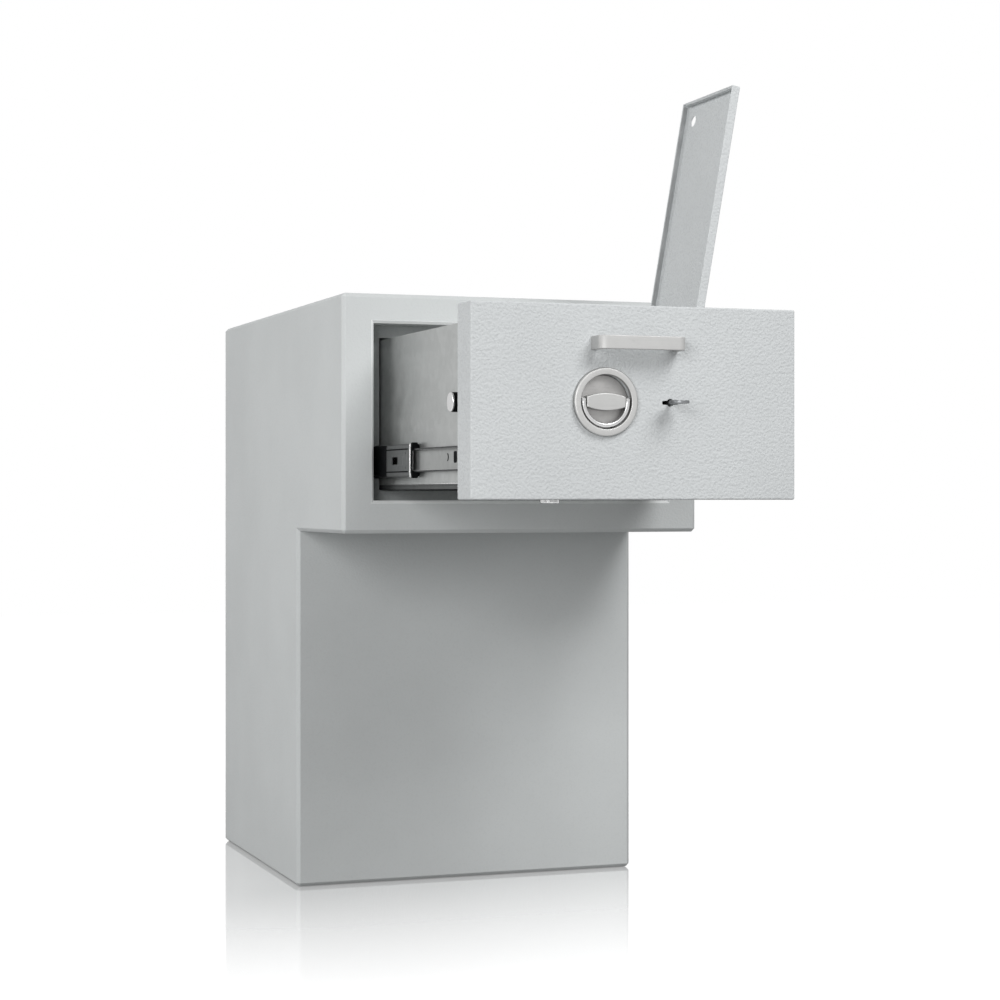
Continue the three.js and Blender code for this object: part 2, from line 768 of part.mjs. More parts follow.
function addBoltwork(drawer) {
  const barY = [boltY - barThickness / 2, boltY + barThickness / 2];
  const upperZ = knobZ + pitchRadius;
  const lowerZ = knobZ - pitchRadius;
  const slotReach = camPinRadius + boltRun;
  const camRight = bottomBoltX + camPlateMargin;
  const camLow = camPinZ - camPlateMargin;
  const camHigh = camPinZ + boltThrow + camPlateMargin;
  const cam = slab([-boltInnerX - camPlateMargin, camRight], barY, [camLow, camHigh]);
  const rack = slab([camRight - weld, knobX + rackOverhang], barY, [upperZ, upperZ + barHeight]);
  const hanger = slab(
    [-boltInnerX - camPlateMargin / 2, -boltInnerX + barHeight],
    barY,
    [knobZ - barHeight / 2, camLow + weld],
  );
  const slotBody = slab(
    [0, boltThrow * Math.SQRT2],
    [boltY - overrun, boltY + overrun],
    [-slotReach, slotReach],
  );
  const slot = slotBody.rotate([0, camSlotTurn, 0]).translate([bottomBoltX, 0, camPinZ]);
  const slotEnds = [0, 1].map((end) => bar(
    slotReach,
    [boltY - overrun, boltY + overrun],
    'y',
    [bottomBoltX - end * boltThrow, 0, camPinZ + end * boltThrow],
  ));
  const leftRound = roundBolt(boltRadius, boltBody, 'x', [-boltTipX, boltY, knobZ], -1);
  const left = cut(join(leftRound, hanger, cam, rack), slot, ...slotEnds);
  addPiece(drawer, 'bolt_left', left, 'brightSteel');

  const rightRound = roundBolt(boltRadius, boltBody, 'x', [boltTipX, boltY, knobZ], 1);
  const riser = slab(
    [boltInnerX - barHeight, boltInnerX + camPlateMargin / 2],
    barY,
    [lowerZ - barHeight, knobZ + barHeight / 2],
  );
  const lowerBar = slab([knobX - rackOverhang, boltInnerX], barY, [lowerZ - barHeight, lowerZ]);
  const notch = slab(
    [keyX - lockBoltWidth / 2 - boltRun, keyX + lockBoltWidth / 2 + boltRun],
    [boltY - overrun, boltY + overrun],
    [lowerZ - lockBoltThrow, lowerZ + overrun],
  );
  const right = join(cut(lowerBar, notch), riser, rightRound);
  addPiece(drawer, 'bolt_right', right, 'brightSteel');

  const tipZ = frontBottomZ - bottomBoltProud;
  const bottomTopZ = camLow - boltThrow - bottomBoltGap;
  const bottomRound = roundBolt(boltRadius, bottomTopZ - tipZ, 'z', [bottomBoltX, boltY, tipZ], -1);
  const stemY = [barY[1] + boltRun, barY[1] + boltRun + bottomBarThickness];
  const stem = slab(
    [bottomBoltX - barHeight / 2, bottomBoltX + barHeight / 2],
    stemY,
    [bottomTopZ - camPlateMargin, camPinZ + camPlateMargin],
  );
  const camPin = bar(camPinRadius, [barY[0], stemY[1]], 'y', [bottomBoltX, 0, camPinZ], smallSides);
  addPiece(drawer, 'bolt_bottom', join(bottomRound, stem, camPin), 'brightSteel');

  const seatY = frontRearY + seamGap;
  const guideY = [seatY, boltY + guideHalf];
  const guideEnd = boxInnerHalf - seamGap;
  for (const [side, hand] of [[-1, 'left'], [1, 'right']]) {
    const block = slab(
      [side * guideEnd, side * (guideEnd - guideLength)].sort((a, b) => a - b),
      guideY,
      [knobZ - guideHalf, knobZ + guideHalf],
    );
    const bore = bar(boltRadius + boltRun, [-halfWidth, halfWidth], 'x', [0, boltY, knobZ]);
    addPiece(drawer, `bolt_guide_${hand}`, cut(block, bore), 'darkSteel');
  }
  const floorZ = boxBottomZ + sheet + seamGap;
  const bottomGuide = cut(
    slab([bottomBoltX - guideHalf, bottomBoltX + guideHalf], guideY, [floorZ, floorZ + guideLength]),
    bar(boltRadius + boltRun, [frontBottomZ - overrun, frontTopZ], 'z', [bottomBoltX, boltY, 0]),
  );
  addPiece(drawer, 'bolt_guide_bottom', bottomGuide, 'darkSteel');
}

function addLock(drawer) {
  const place = [keyX, 0, knobZ];
  const seatY = frontRearY + seamGap;
  const barTopZ = knobZ - pitchRadius;
  const caseBottomZ = barTopZ + lockCaseLift;
  const body = slab(
    [keyX - lockWidth / 2, keyX + lockWidth / 2],
    [seatY, seatY + lockDepth],
    [caseBottomZ, caseBottomZ + lockHeight],
  );
  const skinY = housingFrontY + frontSkin;
  const nose = bar(lockNoseRadius, [skinY + seamGap, seatY + weld], 'y', place);
  const bitEndY = seatY + keyBitLength + keyEndGap;
  const bore = bar(lockBoreRadius, [skinY - overrun, bitEndY + boltRun], 'y', place);
  const boltBottomZ = barTopZ + lockBoltLift;
  const pocket = slab(
    [keyX - lockBoltWidth / 2 - boltRun, keyX + lockBoltWidth / 2 + boltRun],
    [boltY - barThickness / 2 - boltRun, boltY + barThickness / 2 + boltRun],
    [caseBottomZ - overrun, boltBottomZ + lockBoltHeight + boltRun],
  );
  addPiece(drawer, 'lock_case', cut(join(body, nose), bore, pocket), 'darkSteel');

  addPiece(drawer, 'lock_bolt', slab(
    [keyX - lockBoltWidth / 2, keyX + lockBoltWidth / 2],
    [boltY - barThickness / 2, boltY + barThickness / 2],
    [boltBottomZ, boltBottomZ + lockBoltHeight],
  ), 'brightSteel');

  const bowY = housingFrontY - keyNeck;
  const shaft = bar(keyShaftRadius, [bowY - keyShoulder, bitEndY], 'y', place, smallSides);
  const bits = slab(
    [keyX - keyBitReach, keyX + keyBitReach],
    [bitEndY - keyBitLength, bitEndY],
    [knobZ - keyBitHeight / 2, knobZ + keyBitHeight / 2],
  );
  const bowOutline = new THREE.Shape();
  bowOutline.absellipse(keyX, bowY - keyBowLength / 2, keyBowWidth / 2, keyBowLength / 2, 0, 2 * Math.PI);
  const bow = prism(bowOutline, [knobZ - keyBowThickness / 2, knobZ + keyBowThickness / 2], 'z');
  const bowPlace = [keyX, bowY - keyBowLength / 2, 0];
  const bowHole = bar(keyBowHole, [knobZ - overrun, knobZ + overrun], 'z', bowPlace, smallSides);
  addPiece(drawer, 'key', cut(join(shaft, bits, bow), bowHole), 'brightSteel');
}

function addDrawerBox(drawer) {
  const boltHole = bar(boltRadius + boltRun, [-halfWidth, halfWidth], 'x', [0, boltY, knobZ]);
  for (const [side, hand] of [[-1, 'left'], [1, 'right']]) {
    const panel = slab(
      [side * boxHalf, side * boxInnerHalf].sort((a, b) => a - b),
      [boxFrontY, boxBackY],
      [boxBottomZ, boxTopZ],
    );
    addPiece(drawer, `box_side_${hand}`, cut(panel, boltHole), 'zincSheet');
  }
  const between = [-boxInnerHalf + seamGap, boxInnerHalf - seamGap];
  const floor = slab(between, [boxFrontY, boxBackY], [boxBottomZ, boxBottomZ + sheet]);
  const floorHole = bar(boltRadius + boltRun, [boxBottomZ - overrun, boxBottomZ + overrun], 'z', [
    bottomBoltX,
    boltY,
    0,
  ]);
  addPiece(drawer, 'box_floor', cut(floor, floorHole), 'zincSheet');

  const floorTopZ = boxBottomZ + sheet + seamGap;
  addPiece(drawer, 'mechanism_panel', slab(
    between,
    [mechanismY, mechanismY + sheet],
    [floorTopZ, deckTopZ - sheet - seamGap],
  ), 'zincSheet');

  const chuteRightX = lidHingeX - lidClearance;
  const back = slab(between, [boxBackY - sheet, boxBackY], [floorTopZ, deckTopZ - sheet - seamGap]);
  const window = slab(
    [-boxInnerHalf + windowMargin, chuteRightX - windowMargin],
    [boxBackY - overrun, boxBackY + overrun],
    [floorTopZ + windowSill, deckTopZ - windowMargin],
  );
  addPiece(drawer, 'box_back', cut(back, window), 'zincSheet');

  const deck = slab(between, [boxFrontY, boxBackY], [deckTopZ - sheet, deckTopZ]);
  const lidOpening = slab(
    [lidHingeX - lidLength - lidClearance, lidHingeX + knuckleRadius + seamGap],
    [lidNearY - lidClearance, lidFarY + lidClearance],
    [deckTopZ - overrun, deckTopZ + overrun],
  );
  addPiece(drawer, 'box_deck', cut(deck, lidOpening), 'zincSheet');

  // The chute: a front edge under the lid, a floor that falls to the back, and one side wall
  const chuteNearY = lidNearY - lidClearance - sheet;
  const chuteFarY = boxBackY - sheet - seamGap;
  const chuteTopZ = deckTopZ - lidRim - lidClearance;
  const bendZ = chuteTopZ - chuteEdgeHeight;
  const endZ = floorTopZ + windowSill;
  const section = outline([
    [chuteNearY, chuteTopZ],
    [chuteNearY, bendZ - sheet],
    [chuteFarY, endZ - sheet],
    [chuteFarY, endZ],
    [chuteNearY + sheet, bendZ],
    [chuteNearY + sheet, chuteTopZ],
  ]);
  const slope = prism(section, [between[0], chuteRightX - sheet / 2], 'x');
  const side = slab(
    [chuteRightX - sheet, chuteRightX],
    [chuteNearY, chuteFarY],
    [floorTopZ, chuteTopZ],
  );
  addPiece(drawer, 'deposit_chute', join(slope, side), 'zincSheet');
}

function addFlap(drawer) {
  const rightX = lidHingeX - lidClearance;
  const pivotY = boxBackY + slideRun + flapTubeRadius;
  const pivotZ = deckTopZ - windowMargin + flapTubeRadius / 2;
  const flapX = [-boxInnerHalf + windowMargin - flapOverlap, rightX - windowMargin + flapOverlap];
  const flapBottomZ = boxBottomZ + sheet + windowSill - flapOverlap;
  const tube = bar(flapTubeRadius, flapX, 'x', [0, pivotY, pivotZ]);
  const leaf = slab(flapX, [pivotY - flapSheet / 2, pivotY + flapSheet / 2], [flapBottomZ, pivotZ]);
  const boreX = [flapX[0] - overrun, flapX[1] + overrun];
  const bore = bar(flapPinRadius + seamGap, boreX, 'x', [0, pivotY, pivotZ], smallSides);
  addPiece(drawer, 'deposit_flap', cut(join(tube, leaf), bore), 'zincSheet');

  const earSpans = [
    [flapX[0] - seamGap - flapEarWidth, flapX[0] - seamGap],
    [flapX[1] + seamGap, flapX[1] + seamGap + flapEarWidth],
  ];
  const ears = earSpans.map((span) => slab(
    span,
    [boxBackY + seamGap, pivotY + flapTubeRadius],
    [pivotZ - flapEarHeight / 2, pivotZ + flapEarHeight / 2],
  ));
  const pin = bar(flapPinRadius, [earSpans[0][0], earSpans[1][1]], 'x', [0, pivotY, pivotZ], smallSides);
  addPiece(drawer, 'flap_pin', join(pin, ...ears), 'darkSteel');
}

// Knuckles along the lid's hinge line, every other one, as [from, to] pairs
function knuckleSpans(first) {
  const pitch = knuckleLength + seamGap;
  const count = Math.floor(lidWidth / pitch);
  const start = (lidNearY + lidFarY - count * pitch) / 2;
  const spans = [];
  for (let i = first; i < count; i += 2) {
    spans.push([start + i * pitch, start + i * pitch + knuckleLength]);
  }
  return spans;
}

// The lid is drawn shut, with its hinge line on the y axis of its group, and raised by the group's turn
function addLid(drawer, lidGroup) {
  const skinTop = hingeLeafSheet / 2;
  const near = lidNearY;
  const far = lidFarY;
  const hingeEnd = -knuckleRadius - seamGap;
  const outer = slab([-lidLength, hingeEnd], [near, far], [skinTop - lidRim, skinTop]);
  const hollow = slab(
    [-lidLength + sheet, hingeEnd - sheet],
    [near + sheet, far - sheet],
    [skinTop - lidRim - overrun, skinTop - sheet],
  );
  const hole = bar(lidHoleRadius, [-overrun, overrun], 'z', [
    -lidLength + lidHoleFromEnd,
    far - lidHoleFromSide,
    0,
  ]);
  const ownSpans = knuckleSpans(1);
  const boreSpan = [near - overrun, far + overrun];
  const tabs = ownSpans.map((span) => join(
    slab([hingeEnd - sheet / 2, 0], span, [skinTop - hingeLeafSheet, skinTop]),
    bar(knuckleRadius, span, 'y', [0, 0, 0], smallSides),
  ));
  const pinBore = bar(hingePinRadius + seamGap, boreSpan, 'y', [0, 0, 0], smallSides);
  const tray = join(cut(outer, hollow), ...tabs);
  addPiece(lidGroup, 'deposit_lid', cut(tray, hole, pinBore), 'frontPaint');

  const leafSpans = knuckleSpans(0);
  const leafY = [leafSpans[0][0], Math.max(...leafSpans.concat(ownSpans).map((span) => span[1]))];
  const leafZ = [deckTopZ + seamGap, deckTopZ + seamGap + hingeLeafSheet];
  const leafStart = lidHingeX + knuckleRadius + seamGap;
  const leaf = slab([leafStart, lidHingeX + knuckleRadius + hingeLeafWidth], leafY, leafZ);
  const knuckles = leafSpans.map((span) => join(
    slab([lidHingeX, leafStart + weld], span, leafZ),
    bar(knuckleRadius, span, 'y', [lidHingeX, 0, lidHingeZ], smallSides),
  ));
  const leafBore = bar(hingePinRadius + seamGap, boreSpan, 'y', [lidHingeX, 0, lidHingeZ], smallSides);
  addPiece(drawer, 'lid_hinge_leaf', cut(join(leaf, ...knuckles), leafBore), 'zincSheet');
  const pin = bar(hingePinRadius, leafY, 'y', [lidHingeX, 0, lidHingeZ], smallSides);
  addPiece(drawer, 'lid_hinge_pin', pin, 'brightSteel');
}

function addRearDoor(root) {
  const frame = slab(
    [-rearOpeningHalf - rearFrameBorder, rearOpeningHalf + rearFrameBorder],
    [rearFrameY, backInsideY - seamGap],
    [rearBottomZ - rearGap - rearFrameBorder, rearTopZ + rearGap + rearFrameBorder],
  );
  const rebate = slab(
    [-rearOpeningHalf, rearOpeningHalf],
    [rearFrameY + rearFrameThickness, backY],
    [rearBottomZ - rearGap, rearTopZ + rearGap],
  );
  const clear = slab(
    [-rearOpeningHalf + rearFrameLap, rearOpeningHalf - rearFrameLap],
    [rearFrameY - overrun, backY],
    [rearBottomZ - rearGap + rearFrameLap, rearTopZ + rearGap - rearFrameLap],
  );
  addPiece(root, 'rear_door_frame', cut(frame, rebate, clear), 'bodyPaint');

  const plate = slab([-rearHalf, rearHalf], [rearInsideY, backY], [rearBottomZ, rearTopZ]);
  const knobPlace = [rearKnobX, 0, rearMidZ];
  const throughY = [rearInsideY - overrun, backY + overrun];
  const spindleHole = bar(rearSpindleRadius + boltRun, throughY, 'y', knobPlace);
  addPiece(root, 'rear_door', cut(plate, spindleHole), 'bodyPaint');

  const coverBackY = rearInsideY - seamGap - rearCoverDepth;
  const coverX = [-rearHalf + rearCoverInset, rearHalf - rearCoverInset];
  const coverZ = [rearBottomZ + rearCoverInset, rearTopZ - rearCoverInset];
  const coverOuter = slab(coverX, [coverBackY, rearInsideY - seamGap], coverZ);
  const coverHollow = slab(
    [coverX[0] + sheet, coverX[1] - sheet],
    [coverBackY + sheet, rearInsideY + overrun],
    [coverZ[0] + sheet, coverZ[1] - sheet],
  );
  const rearBoltY = rearFrameY - rearBoltRadius - rearBoltGap;
  const rearBoltZ = [-1, 1].map((side) => rearMidZ + side * rearBoltPitch / 2);
  const boltHoles = rearBoltZ.map((z) => (
    bar(rearBoltRadius + boltRun, [0, halfWidth], 'x', [0, rearBoltY, z])
  ));
  addPiece(root, 'rear_door_cover', cut(coverOuter, coverHollow, ...boltHoles), 'zincSheet');

  const tipX = rearOpeningHalf - rearFrameLap - rearBoltTip;
  const barX = [tipX - rearBoltBody - rearBarWidth, tipX - rearBoltBody];
  const barYs = [rearBoltY - barThickness / 2, rearBoltY + barThickness / 2];
  const rounds = rearBoltZ.map((z) => roundBolt(
    rearBoltRadius,
    rearBoltBody + rearBarWidth / 2,
    'x',
    [tipX, rearBoltY, z],
    1,
  ));
  const upright = slab(barX, barYs, [rearBoltZ[0] - rearBoltRadius, rearBoltZ[1] + rearBoltRadius]);
  const rackZ = rearMidZ + rearPitchRadius;
  const rack = slab([rearKnobX - rearBoltThrow - barHeight, barX[1]], barYs, [rackZ, rackZ + barHeight]);
  addPiece(root, 'rear_bolts', join(upright, rack, ...rounds), 'brightSteel');

  const hubY = backY + seamGap;
  const hub = bar(rearHubRadius, [hubY, hubY + rearHubHeight], 'y', knobPlace);
  const leverOutline = roundedOutline(
    rearLeverLength + rearLeverWidth,
    rearLeverWidth,
    rearLeverRound,
    rearKnobX - rearLeverLength / 2,
    rearMidZ,
  );
  const lever = prism(leverOutline, [
    hubY + rearHubHeight - weld,
    hubY + rearHubHeight + rearLeverThickness,
  ], 'y');
  const rearPinionY = [rearBoltY - pinionLength / 2, rearBoltY + pinionLength / 2];
  const shaft = bar(rearSpindleRadius, [rearPinionY[0], hubY + weld], 'y', knobPlace);
  const pinion = bar(rearPitchRadius - seamGap, rearPinionY, 'y', knobPlace);
  addPiece(root, 'rear_handle', join(hub, lever, shaft, pinion), 'satinSteel');

  const keyPlace = [rearKnobX, 0, rearMidZ - rearKeyPlateDrop];
  const keyPlate = cut(
    bar(rearKeyPlateRadius, [hubY, hubY + rearKeyPlateThickness], 'y', keyPlace),
    bar(keyholeRadius, [hubY - overrun, hubY + overrun], 'y', keyPlace),
  );
  addPiece(root, 'rear_key_plate', keyPlate, 'satinSteel');

  addRearHinge(root);
}

// A long hinge whose outer knuckles belong to the body's leaf and whose middle one to the door's
function addRearHinge(root) {
  const ends = [rearBottomZ + rearHingeInset, rearTopZ - rearHingeInset];
  const leafY = [backY + seamGap, backY + seamGap + rearLeafSheet];
  const axisPlace = [rearHingeX, rearHingeY, 0];
  const bore = bar(rearHingePinRadius + seamGap, [0, bodyHeight], 'z', axisPlace, smallSides);
  const knuckle = (span) => bar(rearHingeRadius, span, 'z', axisPlace);
  const outerSpans = [[ends[0], ends[0] + rearKnuckle], [ends[1] - rearKnuckle, ends[1]]];
  const middleSpan = [outerSpans[0][1] + seamGap, outerSpans[1][0] - seamGap];
  const strip = slab(
    [rearHingeX - rearLeafWidth, rearHingeX - rearHingeRadius - seamGap],
    leafY,
    ends,
  );
  const outerTabs = outerSpans.map((span) => join(
    knuckle(span),
    slab([rearHingeX - rearHingeRadius * 2, rearHingeX], leafY, span),
  ));
  addPiece(root, 'rear_hinge_body_leaf', cut(join(strip, ...outerTabs), bore), 'satinSteel');
  const doorStrip = slab(
    [rearHingeX + rearHingeRadius + seamGap, rearHingeX + rearLeafWidth],
    leafY,
    ends,
  );
  const middleTab = join(
    knuckle(middleSpan),
    slab([rearHingeX, rearHingeX + rearHingeRadius * 2], leafY, middleSpan),
  );
  addPiece(root, 'rear_hinge_door_leaf', cut(join(doorStrip, middleTab), bore), 'satinSteel');
  const pin = bar(rearHingePinRadius, ends, 'z', axisPlace, smallSides);
  addPiece(root, 'rear_hinge_pin', pin, 'brightSteel');
}

const safe = new THREE.Group();

// The drawer and what it carries are drawn shut and moved out as one
const drawerGroup = new THREE.Group();
drawerGroup.position.y = -drawerOpen;
safe.add(drawerGroup);
const midGroup = new THREE.Group();
midGroup.position.y = -drawerOpen / 2;
safe.add(midGroup);
const lidGroup = new THREE.Group();
lidGroup.position.set(lidHingeX, 0, lidHingeZ);
lidGroup.rotation.y = lidOpenAngle;
drawerGroup.add(lidGroup);

addBody(safe);
addStrikeFrame(safe);
addChamber(safe);
addSlides(safe, drawerGroup, midGroup);
addDrawerFront(drawerGroup);
addPullHandle(drawerGroup);
addTurningHandle(drawerGroup);
addBoltwork(drawerGroup);
addLock(drawerGroup);
addDrawerBox(drawerGroup);
addFlap(drawerGroup);
addLid(drawerGroup, lidGroup);
addRearDoor(safe);

export default safe;
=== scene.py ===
"""Drop safe with a deposit drawer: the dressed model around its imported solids.

Lengths in the classes are millimetres in the part's own frame, as the drawing gives them, with the
drawer pulled out. Every piece is turned into metres when its mesh is finished.
"""

import json
import logging
import math
from collections.abc import Callable, Iterable, Sequence
from dataclasses import dataclass, replace
from enum import Enum
from functools import cache

import bmesh
import bpy
from mathutils import Matrix, Vector


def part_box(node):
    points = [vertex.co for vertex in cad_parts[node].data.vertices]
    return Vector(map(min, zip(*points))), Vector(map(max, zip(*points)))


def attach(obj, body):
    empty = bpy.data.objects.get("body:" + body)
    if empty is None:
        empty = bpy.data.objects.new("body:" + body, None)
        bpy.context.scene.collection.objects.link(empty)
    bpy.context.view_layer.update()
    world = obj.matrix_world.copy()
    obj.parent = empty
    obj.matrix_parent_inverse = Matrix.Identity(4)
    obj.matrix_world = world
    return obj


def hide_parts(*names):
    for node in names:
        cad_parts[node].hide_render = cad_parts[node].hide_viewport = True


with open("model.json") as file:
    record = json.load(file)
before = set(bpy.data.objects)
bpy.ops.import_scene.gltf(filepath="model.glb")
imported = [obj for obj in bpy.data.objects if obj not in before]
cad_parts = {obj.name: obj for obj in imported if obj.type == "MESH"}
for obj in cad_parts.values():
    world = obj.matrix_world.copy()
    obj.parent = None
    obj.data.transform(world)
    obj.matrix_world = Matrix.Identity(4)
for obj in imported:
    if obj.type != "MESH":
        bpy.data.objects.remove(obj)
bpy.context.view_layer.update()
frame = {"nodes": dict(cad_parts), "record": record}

LOG = logging.getLogger("drop_safe")
METRE = 1000.0
SIDES = (-1, 1)
HANDS = ((-1, "left"), (1, "right"))
KNOB_PLACE = (-35.5, 566.7)
KEY_PLACE = (36.9, 566.7)
WHITE = (1.0, 1.0, 1.0, 1.0)
STRAIGHT = 0.9

Span = tuple[float, float]
Point = tuple[float, float]
Place = tuple[float, float, float]
Colour = tuple[float, float, float, float]
Value = bpy.types.NodeSocket | float | Place | Colour
EdgeTest = Callable[[Vector, Vector], bool]


class Axis(Enum):
    """A direction of the part, with the turn that brings a shape drawn on +Z to it."""

    X = Matrix(((0, 0, 1, 0), (0, 1, 0, 0), (-1, 0, 0, 0), (0, 0, 0, 1)))
    Y = Matrix(((1, 0, 0, 0), (0, 0, 1, 0), (0, -1, 0, 0), (0, 0, 0, 1)))
    Z = Matrix.Identity(4)


class Cut(Enum):
    """What one solid does to another."""

    AWAY = "DIFFERENCE"
    JOIN = "UNION"
    SHARE = "INTERSECT"


class Slot(Enum):
    """Finishes that the record names."""

    BODY = "body_paint"
    FRONT = "front_paint"
    ZINC = "zinc_sheet"
    SATIN = "satin_steel"
    BRIGHT = "bright_steel"
    DARK = "dark_steel"
    PLASTIC = "black_plastic"


def linear(code: str) -> Colour:
    """Turn a six-digit screen colour into linear light.

    Args:
        code: the colour as hexadecimal digits.

    Returns:
        Red, green, blue and an alpha of one.
    """
    parts = [int(code[i:i + 2], 16) / 255 for i in (0, 2, 4)]
    light = [c / 12.92 if c <= 0.04045 else ((c + 0.055) / 1.055) ** 2.4 for c in parts]
    return (light[0], light[1], light[2], 1.0)


def shade(colour: Colour, factor: float) -> Colour:
    """Return a colour made lighter or darker by a factor."""
    return (colour[0] * factor, colour[1] * factor, colour[2] * factor, 1.0)


def around(middle: float, half: float) -> Span:
    """Return the span that reaches equally far to both sides of a value."""
    return (middle - half, middle + half)


def along(axis: Axis) -> EdgeTest:
    """Return a test that picks the edges along an axis."""
    number = "XYZ".index(axis.name)
    return lambda middle, way: abs(way[number]) > STRAIGHT


class Wiring:
    """Puts shader nodes into a tree and links them by the names of their inputs."""

    def __init__(self, tree: bpy.types.NodeTree) -> None:
        """Start on a node tree and empty it."""
        self.tree = tree
        tree.nodes.clear()

    def add(self, kind: str, inputs: dict[str | int, Value] | None = None, **settings: object) -> bpy.types.Node:
        """Add a node.

        Args:
            kind: the node's type without its ShaderNode prefix.
            inputs: values or output sockets by input name or number.
            settings: properties of the node.

        Returns:
            The new node.
        """
        node = self.tree.nodes.new("ShaderNode" + kind)
        for name, setting in settings.items():
            setattr(node, name, setting)
        for key, value in (inputs or {}).items():
            if isinstance(value, bpy.types.NodeSocket):
                self.tree.links.new(value, node.inputs[key])
            else:
                node.inputs[key].default_value = value
        return node

    def place(self, tree: bpy.types.NodeTree, **values: Value) -> bpy.types.NodeOutputs:
        """Place a node group with values of its own and return its outputs."""
        return self.add("Group", dict(values), node_tree=tree).outputs

    def where(self) -> bpy.types.NodeSocket:
        """Return the place on the piece, in metres."""
        return self.add("TexCoord").outputs["Object"]

    def noise(self, where: Value, scale: Value, detail: float, roughness: float = 0.5) -> bpy.types.NodeSocket:
        """Return a cloudy pattern of one scale."""
        inputs = {"Vector": where, "Scale": scale, "Detail": detail, "Roughness": roughness}
        return self.add("TexNoise", inputs).outputs[0]

    def window(self, value: Value, low: float, high: float, **settings: str) -> bpy.types.NodeSocket:
        """Stretch what lies between two values to nought and one."""
        return self.add("MapRange", {"Value": value, "From Min": low, "From Max": high}, **settings).outputs[0]

    def spread(self, value: Value, low: float, high: float) -> bpy.types.NodeSocket:
        """Map a mask from nought and one to two values."""
        return self.add("MapRange", {"Value": value, "To Min": low, "To Max": high}).outputs[0]

    def sums(self, kind: str, first: Value, second: Value, clamp: bool = False) -> bpy.types.NodeSocket:
        """Return the result of a sum of two values."""
        return self.add("Math", {0: first, 1: second}, operation=kind, use_clamp=clamp).outputs[0]

    def vectors(self, kind: str, first: Value, second: Value = (0.0, 0.0, 0.0)) -> bpy.types.NodeOutputs:
        """Return the results of a sum of two vectors."""
        return self.add("VectorMath", {0: first, 1: second}, operation=kind).outputs

    def blend(self, mask: Value, first: Value, second: Value, share: float | None = None) -> bpy.types.NodeSocket:
        """Mix two colours by a mask, or by a share of it, and return the mixed colour."""
        part = mask if share is None else self.sums("MULTIPLY", mask, share)
        return self.add("Mix", {0: part, 6: first, 7: second}, data_type="RGBA").outputs[2]

    def either(self, mask: Value, first: Value, second: Value) -> bpy.types.NodeSocket:
        """Mix two shaders by a mask."""
        return self.add("MixShader", {0: mask, 1: first, 2: second}).outputs[0]

    def bump(self, height: Value, strength: float, distance: float) -> bpy.types.NodeSocket:
        """Return the normal that a height gives a surface."""
        return self.add("Bump", {"Strength": strength, "Distance": distance, "Height": height}).outputs[0]


